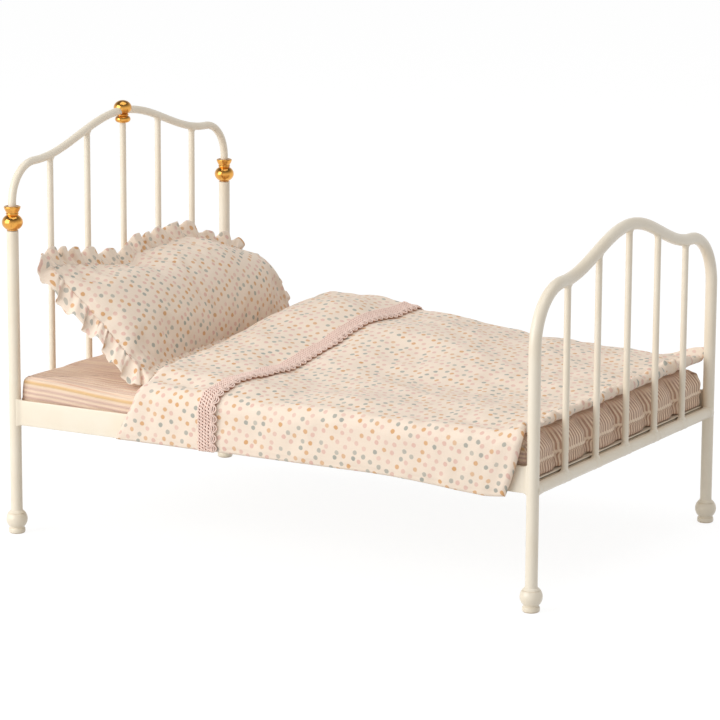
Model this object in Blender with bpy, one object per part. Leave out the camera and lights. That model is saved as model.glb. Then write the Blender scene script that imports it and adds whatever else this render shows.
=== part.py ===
"""Doll's bedstead of enamelled steel tube with loose bedding, in metres, +Z up.

The origin is on the floor under the middle of the bed. +X runs from the headboard to the footboard,
and the near long side is at -Y. The bedstead is welded up, and the mattress, the duvet and the
pillow lift straight off it.
"""
import math

import bmesh
import bpy
from mathutils import Vector

# Bedstead
BED_LENGTH = 0.2150            # head posts to foot legs, on centres
BED_WIDTH = 0.1470             # near posts to far posts, on centres
JOINT_GAP = 0.0003             # clearance wherever two pieces meet
TUBE_SIDES_RESOLUTION = 4      # bevel resolution that gives a tube 12 sides
TURNED_SIDES = 16
WELD_DISTANCE = 0.00001        # points of one mesh closer than this become one
SHARP_ANGLE = 40.0             # degrees from which an edge stays crisp

# Headboard
HEAD_HOOP_DIAMETER = 0.0030
HEAD_SHOULDER = 0.1386         # height of the hoop's axis at its shoulders
HEAD_CROWN = 0.1510            # height of the hoop's axis at its crown
HEAD_BEND = 0.0140             # bend radius at the corners
HEAD_POST_WALL = 0.0004
HEAD_POST_TOP = 0.1142
HOOP_INSERT = 0.0120           # length of hoop inside each head post

# Footboard
FOOT_SHOULDER = 0.1118
FOOT_CROWN = 0.1244
FOOT_BEND = 0.0200

# Spindles and crossbars
SPINDLE_DIAMETER = 0.0024
SPINDLE_COUNT = 5
CROSSBAR_DIAMETER = 0.0042
CROSSBAR_HEIGHT = 0.0427

# Turned feet
FOOT_BALL_DIAMETER = 0.0080
FOOT_NECK_DIAMETER = 0.0052
FOOT_RING_DIAMETER = 0.0062
FOOT_RING_HEIGHT = 0.0024
FOOT_PAD_DIAMETER = 0.0048     # flat face on the floor
FOOT_SPIGOT = 0.0050           # length of plug inside the leg

# Brass collars on the head posts
COLLAR_BALL_DIAMETER = 0.0080
COLLAR_WALL = 0.0006           # brass left round the hoop at the neck
COLLAR_RING_DIAMETER = 0.0070
COLLAR_RING_HEIGHT = 0.0024

# Brass finial on the crown
FINIAL_BALL_DIAMETER = 0.0070
FINIAL_RISE = 0.0004           # ball centre above the hoop's axis
FINIAL_NECK_DIAMETER = 0.0044
FINIAL_RING_DIAMETER = 0.0060
FINIAL_RING_HEIGHT = 0.0024
FINIAL_SOCKET = 0.0016         # depth of the socket for the middle spindle

# Side rails and base panel
RAIL_DEPTH = 0.0095
RAIL_DROP = 0.0012             # rail's lower edge below the crossbar axis
RAIL_GAUGE = 0.0010
RAIL_FLANGE = 0.0080           # width of the ledge that carries the panel
PANEL_GAUGE = 0.0010

# Mattress
MATTRESS_DEPTH = 0.0130
MATTRESS_CROWN = 0.0012
MATTRESS_SIDE_GAP = 0.0010     # to each rail
MATTRESS_END_GAP = 0.0003      # to whatever stands nearest above each end
MATTRESS_EDGE = 0.0028         # rounding of the top and bottom edges
MATTRESS_CORNER = 0.0004       # what the upright corners are rounded beyond that
MATTRESS_FLAT = 0.3            # share of the top, out from its middle, that lies flat
CHANNEL_DEPTH = 0.0012         # foot end drawn in at each spindle
CHANNEL_WIDTH = 0.0050

# Pillow, leaning on the headboard
PILLOW_WIDTH = 0.1230          # seam to seam, without the ruffle
PILLOW_PLUMP = 0.0200          # thickness at the middle
PILLOW_SEAM = 0.0012           # thickness at the seam
PILLOW_CORNER = 0.0045
PILLOW_PULL = 0.0022           # how far the sides draw in between the corners
PILLOW_FULL = 3.0              # power of the face's rise: higher is fuller towards the seam
PILLOW_ROLL = 0.75             # power of its roll into the seam: lower is steeper
PILLOW_SAG_ALONG = 0.45        # where the leaning pillow sags, as shares of the way
PILLOW_SAG_UP = 0.22           # from its toe to its top
PILLOW_TOE = -0.0595           # foremost edge of the ruffle, on the bed's middle line
PILLOW_SKEW = -0.092           # how the foremost edge runs back towards the far side
PILLOW_HEAD_GAP = 0.0012       # from the ruffle's top edge to the finial above it
PILLOW_TOP = 0.1020            # height of the ruffle's top edge
RUFFLE_WIDTH = 0.0072
RUFFLE_GAUGE = 0.0006
RUFFLE_WAVE = 0.0009           # height of a fold, either way
RUFFLE_FOLDS = 40
RUFFLE_POINTS_PER_FOLD = 4

# Duvet, folded back at the head end
DUVET_NEAR_LOFT = 0.0034       # thickness on the bed's top, near side
DUVET_FAR_LOFT = 0.0108        # the same on the far side, where it is bunched up
DUVET_FOOT_LOFT = 0.0056       # the far side again, towards the foot
DUVET_HEM = 0.0028             # thickness along the hems and of the hanging sides
DUVET_SIDE_RUN = 0.0120        # distance in which the loft builds up from the sides
DUVET_FOOT_RUN = 0.0160        # the same from the foot hem
DUVET_BUNCH_START = -0.0350    # where across the bed the bunching starts
DUVET_BUNCH_RUN = 0.0750
DUVET_FOOT_GAP = 0.0004        # from the foot hem to the footboard
DUVET_FOOT_LIFT = 0.0016       # how far the foot hem stands up off the mattress
DUVET_SIDE_GAP = 0.0008        # from the hanging sides to the rails
DUVET_TURN = 0.0035            # inner radius where it turns down over the mattress
DUVET_NEAR_DROP = 0.0134       # straight hang on the near side
DUVET_CORNER_DROP = 0.0016     # extra hang towards the near foot corner
DUVET_CORNER_RUN = 0.0550      # length of bed in which the foot corners change
DUVET_CORNER_ROUND = 0.0070    # rounding of the hanging near foot corner
DUVET_FAR_DROP = 0.0125        # straight hang on the far side, at the head end
DUVET_FAR_TIP = 0.0055         # what is left of it at the foot
DUVET_TIP_LIFT = 25.0          # degrees by which the far foot corner cocks up
FOLD_EDGE = -0.0577            # folded edge at the head end, on the middle line
FOLD_SKEW = -0.092
FOLD_RAKE = 0.0095             # how far the edge pulls towards the head down the near side
FOLD_HEM = -0.0142             # hem of the folded-back layer, on the middle line
FOLD_HEM_SKEW = 0.050
FOLD_NEAR_LOFT = 0.0022        # what the folded-back layer adds on the near side
FOLD_FAR_LOFT = 0.0056         # what it adds on the far side
FOLD_SIDE = 0.0006             # what it adds to the hanging sides and at its hem
FOLD_TAPER = 0.0180            # distance in which it thins to its hem
FOLD_NOSE = 0.0140             # rounding of the folded edge
FOLD_LIP = 0.3                 # share of the thickness left at that edge
LACE_WIDTH = 0.0062
LACE_GAUGE = 0.0004

# Places worked out from the sizes above
HEAD_X = -BED_LENGTH / 2
FOOT_X = BED_LENGTH / 2
HALF_WIDTH = BED_WIDTH / 2
SIDES = {"near": -1, "far": 1}
BORE = HEAD_HOOP_DIAMETER + 2 * JOINT_GAP
POST_DIAMETER = BORE + 2 * HEAD_POST_WALL
CROSSBAR_TOP = CROSSBAR_HEIGHT + CROSSBAR_DIAMETER / 2
PANEL_TOP = CROSSBAR_TOP + JOINT_GAP + PANEL_GAUGE
MATTRESS_BOTTOM = PANEL_TOP + JOINT_GAP
MATTRESS_TOP = MATTRESS_BOTTOM + MATTRESS_DEPTH
MATTRESS_HEAD = HEAD_X + max(FINIAL_BALL_DIAMETER, POST_DIAMETER) / 2 + MATTRESS_END_GAP
MATTRESS_FOOT = FOOT_X - POST_DIAMETER / 2 - MATTRESS_END_GAP
MATTRESS_HALF = HALF_WIDTH - MATTRESS_SIDE_GAP
DUVET_FOOT = FOOT_X - POST_DIAMETER / 2 - DUVET_FOOT_GAP
SPINDLE_PITCH = BED_WIDTH / (SPINDLE_COUNT + 1)
SPINDLE_PLACES = [(k + 1) * SPINDLE_PITCH - HALF_WIDTH for k in range(SPINDLE_COUNT)]


def clear_scene():
    for old in list(bpy.data.objects):
        bpy.data.objects.remove(old, do_unlink=True)


def make_material(name, colour, roughness, metallic=0.0):
    material = bpy.data.materials.new(name)
    material.use_nodes = True
    shader = material.node_tree.nodes["Principled BSDF"]
    shader.inputs["Base Color"].default_value = (*colour, 1.0)
    shader.inputs["Roughness"].default_value = roughness
    shader.inputs["Metallic"].default_value = metallic
    return material


def make_empty(name, parent=None):
    empty = bpy.data.objects.new(name, None)
    bpy.context.collection.objects.link(empty)
    empty.parent = parent
    return empty


def add_piece(name, mesh, material, parent, place=(0.0, 0.0, 0.0)):
    piece = bpy.data.objects.new(name, mesh)
    bpy.context.collection.objects.link(piece)
    piece.location = place
    piece.parent = parent
    mesh.materials.append(material)
    mesh.shade_smooth()
    mesh.set_sharp_from_angle(angle=math.radians(SHARP_ANGLE))
    return piece


def finish_mesh(shape, name):
    bmesh.ops.recalc_face_normals(shape, faces=shape.faces)
    mesh = bpy.data.meshes.new(name)
    shape.to_mesh(mesh)
    shape.free()
    return mesh


def cut_by(piece, mesh):
    """Cuts a piece with a mesh, which stays in the file as a hidden wire guide."""
    cutter = bpy.data.objects.new(piece.name + "_cutter", mesh)
    bpy.context.collection.objects.link(cutter)
    cutter.hide_render = True
    cutter.display_type = "WIRE"
    boolean = piece.modifiers.new("cut", "BOOLEAN")
    boolean.object = cutter
    boolean.operation = "DIFFERENCE"
    boolean.solver = "EXACT"


def ease(share):
    share = min(max(share, 0.0), 1.0)
    return share * share * (3 - 2 * share)


def swept_mesh(points, diameter, name):
    """A round bar of one diameter along the points."""
    curve = bpy.data.curves.new(name, "CURVE")
    curve.dimensions = "3D"
    curve.bevel_depth = diameter / 2
    curve.bevel_resolution = TUBE_SIDES_RESOLUTION
    curve.use_fill_caps = True
    spline = curve.splines.new("POLY")
    spline.points.add(len(points) - 1)
    for spot, point in zip(spline.points, points):
        spot.co = (*point, 1.0)
    guide = bpy.data.objects.new(name, curve)
    bpy.context.collection.objects.link(guide)
    swept = bpy.data.meshes.new_from_object(guide.evaluated_get(bpy.context.evaluated_depsgraph_get()))
    bpy.data.objects.remove(guide, do_unlink=True)
    shape = bmesh.new()
    shape.from_mesh(swept)
    bpy.data.meshes.remove(swept)
    bmesh.ops.remove_doubles(shape, verts=shape.verts, dist=WELD_DISTANCE)
    return finish_mesh(shape, name)


def turned_piece(name, outline, material, parent, place, closed=False):
    """Turns an outline of (radius, height) pairs, listed down its outer side, about the Z axis."""
    mesh = bpy.data.meshes.new(name)
    spots = [(radius, 0.0, height) for radius, height in outline]
    edges = [(k, k + 1) for k in range(len(spots) - 1)]
    if closed:
        edges.append((len(spots) - 1, 0))
    mesh.from_pydata(spots, edges, [])
    piece = add_piece(name, mesh, material, parent, place)
    screw = piece.modifiers.new("turn", "SCREW")
    screw.steps = TURNED_SIDES
    screw.render_steps = TURNED_SIDES
    screw.use_merge_vertices = True
    screw.merge_threshold = WELD_DISTANCE
    return piece


def lofted_mesh(rings, name):
    """A closed form through rings of equal point counts, capped at the first and the last ring."""
    shape = bmesh.new()
    loops = [[shape.verts.new(point) for point in ring] for ring in rings]
    count = len(loops[0])
    for lower, upper in zip(loops, loops[1:]):
        for k in range(count):
            shape.faces.new((lower[k - 1], lower[k], upper[k], upper[k - 1]))
    shape.faces.new(loops[0])
    shape.faces.new(loops[-1])
    return finish_mesh(shape, name)


def slab_mesh(lower, upper, name, round_trip=False):
    """A closed skin between two grids of points; round_trip joins the last row to the first."""
    shape = bmesh.new()
    under = [[shape.verts.new(point) for point in row] for row in lower]
    over = [[shape.verts.new(point) for point in row] for row in upper]
    rows, columns = len(under), len(under[0])
    steps = rows if round_trip else rows - 1
    for i in range(steps):
        j = (i + 1) % rows
        for k in range(columns - 1):
            shape.faces.new((under[i][k], under[i][k + 1], under[j][k + 1], under[j][k]))
            shape.faces.new((over[i][k], over[j][k], over[j][k + 1], over[i][k + 1]))
        for k in (0, columns - 1):
            shape.faces.new((under[i][k], under[j][k], over[j][k], over[i][k]))
    if not round_trip:
        for i in (0, rows - 1):
            for k in range(columns - 1):
                shape.faces.new((under[i][k], under[i][k + 1], over[i][k + 1], over[i][k]))
    return finish_mesh(shape, name)


def rounded_outline(half_x, half_y, corner, count_x, count_y, count_corner):
    """Points round a rectangle with round corners, each with its outward direction."""
    sides = [(half_y, count_y, 0.0), (half_x, count_x, 90.0), (half_y, count_y, 180.0),
             (half_x, count_x, 270.0)]
    corners = [(1, 1), (-1, 1), (-1, -1), (1, -1)]
    outline = []
    for (half, count, facing), (sign_x, sign_y) in zip(sides, corners):
        centre = Vector((sign_x * (half_x - corner), sign_y * (half_y - corner)))
        out = Vector((math.cos(math.radians(facing)), math.sin(math.radians(facing))))
        along = Vector((-out.y, out.x))
        straight = 2 * (half - corner)
        for k in range(count):
            outline.append((centre + out * corner + along * straight * (k / count - 1), out))
        for k in range(count_corner):
            turn = math.radians(facing + 90.0 * k / count_corner)
            round_out = Vector((math.cos(turn), math.sin(turn)))
            outline.append((centre + round_out * corner, round_out))
    return outline


def evenly_spaced(outline, count):
    """The same closed outline with its points at equal distances."""
    spots = outline + outline[:1]
    ways = [0.0]
    for (start, _), (end, _) in zip(spots, spots[1:]):
        ways.append(ways[-1] + (end - start).length)
    even = []
    k = 0
    for step in range(count):
        way = ways[-1] * step / count
        while ways[k + 1] <= way:
            k += 1
        share = (way - ways[k]) / (ways[k + 1] - ways[k])
        even.append((spots[k][0].lerp(spots[k + 1][0], share),
                     spots[k][1].lerp(spots[k + 1][1], share).normalized()))
    return even


def hoop_height(across, shoulder, crown, bend):
    """Height of a hoop's axis over its span between the corner bends."""
    span = HALF_WIDTH - bend
    return shoulder + (crown - shoulder) * (0.5 + 0.5 * math.cos(math.pi * across / span))


def hoop_path(along, bottom, shoulder, crown, bend):
    """Axis of a hoop: up one side, round its corner, over the crown and down the other side."""
    bend_steps, span_steps = 7, 26
    span = HALF_WIDTH - bend
    points = [Vector((along, -HALF_WIDTH, bottom))]
    for k in range(bend_steps):
        turn = math.pi / 2 * k / bend_steps
        across = -span - bend * math.cos(turn)
        points.append(Vector((along, across, shoulder - bend + bend * math.sin(turn))))
    for k in range(span_steps + 1):
        across = span * (2 * k / span_steps - 1)
        points.append(Vector((along, across, hoop_height(across, shoulder, crown, bend))))
    half_turn = [Vector((along, -point.y, point.z)) for point in points[:bend_steps + 1]]
    return points + half_turn[::-1]


def bead_outline(ball, neck, ring, ring_height, ring_end, ball_end):
    """Outline of a ball over a ring, all given as diameters: down from the ball to height 0."""
    ball_steps, ring_steps = 8, 4
    top = math.acos(ball_end / ball)
    waist = -math.acos(neck / ball)
    centre = ring_height - ball / 2 * math.sin(waist)
    turns = [top + (waist - top) * k / ball_steps for k in range(ball_steps + 1)]
    outline = [(ball / 2 * math.cos(turn), centre + ball / 2 * math.sin(turn)) for turn in turns]
    for k in range(1, ring_steps + 1):
        share = k / ring_steps
        plain = neck + (ring_end - neck) * share
        bulge = (ring - plain) * math.sin(math.pi * share)
        outline.append(((plain + bulge) / 2, ring_height * (1 - share)))
    return outline


FOOT_OUTLINE = bead_outline(
    FOOT_BALL_DIAMETER, FOOT_NECK_DIAMETER, FOOT_RING_DIAMETER, FOOT_RING_HEIGHT,
    FOOT_PAD_DIAMETER, POST_DIAMETER)
FOOT_HEIGHT = FOOT_OUTLINE[0][1]
LEG_BOTTOM = FOOT_HEIGHT + JOINT_GAP


def head_hoop_mesh(name, diameter):
    bottom = HEAD_POST_TOP - HOOP_INSERT
    return swept_mesh(hoop_path(HEAD_X, bottom, HEAD_SHOULDER, HEAD_CROWN, HEAD_BEND), diameter, name)


def foot_hoop_mesh(name, diameter):
    path = hoop_path(FOOT_X, LEG_BOTTOM, FOOT_SHOULDER, FOOT_CROWN, FOOT_BEND)
    return swept_mesh(path, diameter, name)


def post_mesh(along, across, top, diameter, name):
    return swept_mesh([(along, across, LEG_BOTTOM), (along, across, top)], diameter, name)


def crossbar_mesh(along, diameter, name):
    ends = [(along, side * HALF_WIDTH, CROSSBAR_HEIGHT) for side in SIDES.values()]
    return swept_mesh(ends, diameter, name)


def make_headboard(enamel, brass, frame):
    for side_name, side in SIDES.items():
        across = side * HALF_WIDTH
        mesh = post_mesh(HEAD_X, across, HEAD_POST_TOP, POST_DIAMETER, "head_post_" + side_name)
        post = add_piece("head_post_" + side_name, mesh, enamel, frame)
        bore = [(HEAD_X, across, LEG_BOTTOM - JOINT_GAP), (HEAD_X, across, HEAD_POST_TOP + JOINT_GAP)]
        cut_by(post, swept_mesh(bore, BORE, "head_post_bore"))
        make_collar("head_collar_" + side_name, across, brass, frame)
    add_piece("head_hoop", head_hoop_mesh("head_hoop", HEAD_HOOP_DIAMETER), enamel, frame)
    make_finial(brass, frame)


def make_collar(name, across, brass, frame):
    """A turned collar, ball down, with the hoop passing through it."""
    neck = BORE + 2 * COLLAR_WALL
    outline = bead_outline(
        COLLAR_BALL_DIAMETER, neck, COLLAR_RING_DIAMETER, COLLAR_RING_HEIGHT, neck, POST_DIAMETER)
    height = outline[0][1]
    outer = [(radius, height - level) for radius, level in reversed(outline)]
    bore = [(BORE / 2, 0.0), (BORE / 2, height)]
    place = (HEAD_X, across, HEAD_POST_TOP + JOINT_GAP)
    turned_piece(name, outer + bore, brass, frame, place, closed=True)


def make_finial(brass, frame):
    """A turned ball that the hoop runs through, over a ring that takes the middle spindle."""
    outline = bead_outline(
        FINIAL_BALL_DIAMETER, FINIAL_NECK_DIAMETER, FINIAL_RING_DIAMETER, FINIAL_RING_HEIGHT,
        FINIAL_NECK_DIAMETER, 0.0)
    socket = SPINDLE_DIAMETER / 2 + JOINT_GAP
    outline += [(socket, 0.0), (socket, FINIAL_SOCKET), (0.0, FINIAL_SOCKET)]
    place = (HEAD_X, 0.0, finial_bottom())
    finial = turned_piece("head_finial", outline, brass, frame, place)
    cut_by(finial, head_hoop_mesh("finial_hole", BORE))


def finial_bottom():
    waist = math.acos(FINIAL_NECK_DIAMETER / FINIAL_BALL_DIAMETER)
    centre = FINIAL_RING_HEIGHT + FINIAL_BALL_DIAMETER / 2 * math.sin(waist)
    return HEAD_CROWN + FINIAL_RISE - centre


def make_footboard(enamel, frame):
    hoop = add_piece("foot_hoop", foot_hoop_mesh("foot_hoop", POST_DIAMETER), enamel, frame)
    for side in SIDES.values():
        across = side * HALF_WIDTH
        depth = LEG_BOTTOM + FOOT_SPIGOT
        socket = [(FOOT_X, across, LEG_BOTTOM - JOINT_GAP), (FOOT_X, across, depth)]
        cut_by(hoop, swept_mesh(socket, BORE, "foot_hoop_socket"))


def make_spindles(enamel, frame):
    """Upright spindles, coped to the crossbar below and to the hoop above."""
    boards = [
        ("head", HEAD_X, HEAD_SHOULDER, HEAD_CROWN, HEAD_BEND, head_hoop_mesh, HEAD_HOOP_DIAMETER),
        ("foot", FOOT_X, FOOT_SHOULDER, FOOT_CROWN, FOOT_BEND, foot_hoop_mesh, POST_DIAMETER),
    ]
    for board, along, shoulder, crown, bend, hoop_mesh, hoop_diameter in boards:
        for number, across in enumerate(SPINDLE_PLACES, 1):
            name = f"{board}_spindle_{number}"
            in_finial = board == "head" and abs(across) < FINIAL_NECK_DIAMETER / 2
            top = hoop_height(across, shoulder, crown, bend)
            if in_finial:
                top = finial_bottom() + FINIAL_SOCKET - JOINT_GAP
            mesh = swept_mesh([(along, across, CROSSBAR_HEIGHT), (along, across, top)],
                              SPINDLE_DIAMETER, name)
            spindle = add_piece(name, mesh, enamel, frame)
            cut_by(spindle, crossbar_mesh(along, CROSSBAR_DIAMETER + 2 * JOINT_GAP, "crossbar_cope"))
            if not in_finial:
                cut_by(spindle, hoop_mesh("hoop_cope", hoop_diameter + 2 * JOINT_GAP))


def make_crossbars(enamel, frame):
    for board, along in (("head", HEAD_X), ("foot", FOOT_X)):
        name = board + "_crossbar"
        crossbar = add_piece(name, crossbar_mesh(along, CROSSBAR_DIAMETER, name), enamel, frame)
        cope_to_posts(crossbar, [(along, side * HALF_WIDTH) for side in SIDES.values()])


def cope_to_posts(piece, places):
    for along, across in places:
        cope = post_mesh(along, across, HEAD_POST_TOP, POST_DIAMETER + 2 * JOINT_GAP, "post_cope")
        cut_by(piece, cope)


def make_rails(enamel, frame):
    """Side rails: an upright web outside the posts' middle line, with a ledge for the panel."""
    low = CROSSBAR_HEIGHT - RAIL_DROP
    ledge = HALF_WIDTH - RAIL_FLANGE
    section = [
        (HALF_WIDTH + RAIL_GAUGE, low), (HALF_WIDTH + RAIL_GAUGE, low + RAIL_DEPTH),
        (HALF_WIDTH, low + RAIL_DEPTH), (HALF_WIDTH, CROSSBAR_TOP),
        (ledge, CROSSBAR_TOP), (ledge, CROSSBAR_TOP - RAIL_GAUGE),
        (HALF_WIDTH, CROSSBAR_TOP - RAIL_GAUGE), (HALF_WIDTH, low),
    ]
    for side_name, side in SIDES.items():
        name = "rail_" + side_name
        rings = [[(along, side * across, height) for across, height in section]
                 for along in (HEAD_X, FOOT_X)]
        rail = add_piece(name, lofted_mesh(rings, name), enamel, frame)
        cope_to_posts(rail, [(along, side * HALF_WIDTH) for along in (HEAD_X, FOOT_X)])
        for along in (HEAD_X, FOOT_X):
            cut_by(rail, crossbar_mesh(along, CROSSBAR_DIAMETER + 2 * JOINT_GAP, "crossbar_cope"))


def make_panel(enamel, frame):
    """Base panel on the rails' ledges, inside the spindles and the posts."""
    half_x = BED_LENGTH / 2 - max(SPINDLE_DIAMETER, POST_DIAMETER - 2 * RAIL_GAUGE) / 2 - JOINT_GAP
    half_y = HALF_WIDTH - POST_DIAMETER / 2 - JOINT_GAP
    corners = [(half_x, half_y), (-half_x, half_y), (-half_x, -half_y), (half_x, -half_y)]
    rings = [[(x, y, PANEL_TOP - depth) for x, y in corners] for depth in (PANEL_GAUGE, 0.0)]
    add_piece("base_panel", lofted_mesh(rings, "base_panel"), enamel, frame)


def make_feet(enamel, frame):
    plug = BORE / 2 - JOINT_GAP
    tip = FOOT_HEIGHT + FOOT_SPIGOT
    outline = [(0.0, tip), (plug, tip), (plug, FOOT_HEIGHT)] + FOOT_OUTLINE + [(0.0, 0.0)]
    for end_name, along in (("head", HEAD_X), ("foot", FOOT_X)):
        for side_name, side in SIDES.items():
            name = f"{end_name}_foot_{side_name}"
            turned_piece(name, outline, enamel, frame, (along, side * HALF_WIDTH, 0.0))


def mattress_rise(x, y):
    """Crown of the mattress top above its edge."""
    middle = (MATTRESS_HEAD + MATTRESS_FOOT) / 2
    half_x = (MATTRESS_FOOT - MATTRESS_HEAD) / 2 - MATTRESS_EDGE
    reach = max(abs(x - middle) / half_x, abs(y) / (MATTRESS_HALF - MATTRESS_EDGE), MATTRESS_FLAT)
    return MATTRESS_CROWN * max(1 - reach * reach, 0.0)


def make_mattress(ticking, lift):
    """A soft pad with round edges, drawn in at the foot end where the spindles press on it."""
    middle = (MATTRESS_HEAD + MATTRESS_FOOT) / 2
    half_x = (MATTRESS_FOOT - MATTRESS_HEAD) / 2
    outline = rounded_outline(half_x, MATTRESS_HALF, MATTRESS_EDGE + MATTRESS_CORNER,
                              count_x=10, count_y=30, count_corner=4)

    def ring(inset, height, scale=1.0):
        points = []
        for spot, out in outline:
            place = (spot - out * inset) * scale
            pull = sum(math.exp(-((spot.y - y) / CHANNEL_WIDTH * 2) ** 2) for y in SPINDLE_PLACES)
            place.x -= CHANNEL_DEPTH * pull * scale * max(out.x, 0.0)
            points.append((middle + place.x, place.y, height))
        return points

    edge_steps = 2
    turns = [math.pi / 2 * k / edge_steps for k in range(edge_steps + 1)]
    rings = [ring(MATTRESS_EDGE * (1 - math.sin(turn)),
                  MATTRESS_BOTTOM + MATTRESS_EDGE * (1 - math.cos(turn))) for turn in turns]
    rings += [ring(MATTRESS_EDGE * (1 - math.cos(turn)),
                   MATTRESS_TOP - MATTRESS_EDGE * (1 - math.sin(turn))) for turn in turns]
    rings += [ring(MATTRESS_EDGE, MATTRESS_TOP + MATTRESS_CROWN * (1 - scale * scale), scale)
              for scale in (0.85, 0.6, MATTRESS_FLAT)]
    add_piece("mattress", lofted_mesh(rings, "mattress"), ticking, lift)


def pillow_spine():
    """Middle surface of the leaning pillow in side view: (x, z) points from toe to top."""
    bed = MATTRESS_TOP + mattress_rise(PILLOW_TOE, 0.0)
    toe = Vector((PILLOW_TOE, bed + JOINT_GAP + RUFFLE_GAUGE / 2 + RUFFLE_WAVE))
    reach = max(FINIAL_BALL_DIAMETER, COLLAR_BALL_DIAMETER) / 2
    top = Vector((HEAD_X + reach + PILLOW_HEAD_GAP, PILLOW_TOP))
    sag = Vector((toe.x + (top.x - toe.x) * PILLOW_SAG_ALONG, toe.y + (top.y - toe.y) * PILLOW_SAG_UP))
    steps = 40
    shares = [k / steps for k in range(steps + 1)]
    return [toe * (1 - s) ** 2 + sag * 2 * s * (1 - s) + top * s * s for s in shares]


class PillowSurface:
    """Carries flat pillow places, across and up from the middle, onto the leaning spine."""

    def __init__(self):
        self.spine = pillow_spine()
        self.ways = [0.0]
        for start, end in zip(self.spine, self.spine[1:]):
            self.ways.append(self.ways[-1] + (end - start).length)
        self.length = self.ways[-1]

    def at(self, across, up, off):
        """A point off the middle surface; up runs from the toe, and off is along its normal."""
        up = min(max(up, 0.0), self.length)
        k = max(i for i in range(len(self.ways) - 1) if self.ways[i] <= up)
        start, end = self.spine[k], self.spine[k + 1]
        share = (up - self.ways[k]) / (self.ways[k + 1] - self.ways[k])
        spot = start.lerp(end, share)
        slope = (end - start).normalized()
        top = self.spine[-1].x
        lean = (spot.x - top) / (self.spine[0].x - top)
        x = spot.x + PILLOW_SKEW * across * lean
        return Vector((x + slope.y * off, across, spot.y - slope.x * off))


def pillow_flat_outline(surface):
    """Seam line of the pillow laid flat, drawn in between its corners."""
    half_up = surface.length / 2 - RUFFLE_WIDTH - JOINT_GAP
    half_across = PILLOW_WIDTH / 2
    outline = []
    plain = rounded_outline(half_across, half_up, PILLOW_CORNER, count_x=16, count_y=9, count_corner=4)
    for spot, out in plain:
        draw_x = PILLOW_PULL * (1 - (spot.y / half_up) ** 2) * spot.x / half_across
        draw_y = PILLOW_PULL * (1 - (spot.x / half_across) ** 2) * spot.y / half_up
        outline.append((Vector((spot.x - draw_x, spot.y - draw_y)), out))
    return outline


def make_pillow(cotton, lift):
    """A plump cushion whose faces meet in a thin seam, with a gathered ruffle round it."""
    surface = PillowSurface()
    middle = surface.length / 2
    outline = pillow_flat_outline(surface)

    def ring(scale, side):
        thick = PILLOW_SEAM + (PILLOW_PLUMP - PILLOW_SEAM) * (1 - scale ** PILLOW_FULL) ** PILLOW_ROLL
        return [surface.at(spot.x * scale, middle + spot.y * scale, side * thick / 2)
                for spot, _ in outline]

    scales = (0.15, 0.4, 0.65, 0.85, 0.96, 1.0)
    rings = [ring(scale, -1) for scale in scales] + [ring(scale, 1) for scale in reversed(scales)]
    add_piece("pillow", lofted_mesh(rings, "pillow"), cotton, lift)
    make_ruffle(surface, cotton, lift)


def make_ruffle(surface, cotton, lift):
    """A gathered strip round the pillow's seam that swings up and down in folds."""
    middle = surface.length / 2
    seam = evenly_spaced(pillow_flat_outline(surface), RUFFLE_FOLDS * RUFFLE_POINTS_PER_FOLD)
    lower, upper = [], []
    for k, (place, facing) in enumerate(seam):
        fold = RUFFLE_WAVE * math.cos(2 * math.pi * k / RUFFLE_POINTS_PER_FOLD)
        under, over = [], []
        for share in (0.0, 0.5, 1.0):
            edge = place + facing * (JOINT_GAP + RUFFLE_WIDTH * share)
            off = fold * share
            under.append(surface.at(edge.x, middle + edge.y, off - RUFFLE_GAUGE / 2))
            over.append(surface.at(edge.x, middle + edge.y, off + RUFFLE_GAUGE / 2))
        lower.append(under)
        upper.append(over)
    mesh = slab_mesh(lower, upper, "pillow_ruffle", round_trip=True)
    add_piece("pillow_ruffle", mesh, cotton, lift)


def drape_side(side, start, angle, length):
    """Turns down from the bed's top at one side: (y, z, facing, distance in from it) stations."""
    turn_steps, hang_steps = 3, 3
    stations = []
    for k in range(1, turn_steps + 1):
        turn = angle * k / turn_steps
        y = start.x + DUVET_TURN * math.sin(abs(turn))
        z = start.y - math.copysign(DUVET_TURN * (1 - math.cos(turn)), turn)
        stations.append((side * y, z, Vector((side * math.sin(turn), math.cos(turn))), 0.0))
    y, z, facing, _ = stations[-1]
    for k in range(1, hang_steps + 1):
        way = length * k / hang_steps
        stations.append((y + side * way * math.cos(angle), z - way * math.sin(angle), facing, 0.0))
    return stations


def drape_section(x):
    """Inner face of the duvet across the bed at one place along it, from near hem to far hem."""
    top_steps = 12
    edge = HALF_WIDTH + RAIL_GAUGE + DUVET_SIDE_GAP - DUVET_TURN
    hem_lift = DUVET_FOOT_LIFT * ease((x - DUVET_FOOT) / DUVET_FOOT_RUN + 1)
    base = MATTRESS_TOP + JOINT_GAP + hem_lift
    towards_foot = ease((x - FOLD_EDGE) / (DUVET_FOOT - FOLD_EDGE))
    corner = ease((x - DUVET_FOOT) / DUVET_CORNER_RUN + 1)
    near_drop = DUVET_NEAR_DROP + DUVET_CORNER_DROP * corner
    far_drop = DUVET_FAR_DROP + (DUVET_FAR_TIP - DUVET_FAR_DROP) * towards_foot
    far_angle = math.radians(90 - (90 + DUVET_TIP_LIFT) * corner)
    start = Vector((edge, base))
    section = drape_side(-1, start, math.pi / 2, near_drop)[::-1]
    for k in range(top_steps + 1):
        y = edge * (2 * k / top_steps - 1)
        section.append((y, base + mattress_rise(x, y), Vector((0.0, 1.0)), edge - abs(y)))
    return section + drape_side(1, start, far_angle, far_drop)


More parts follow.
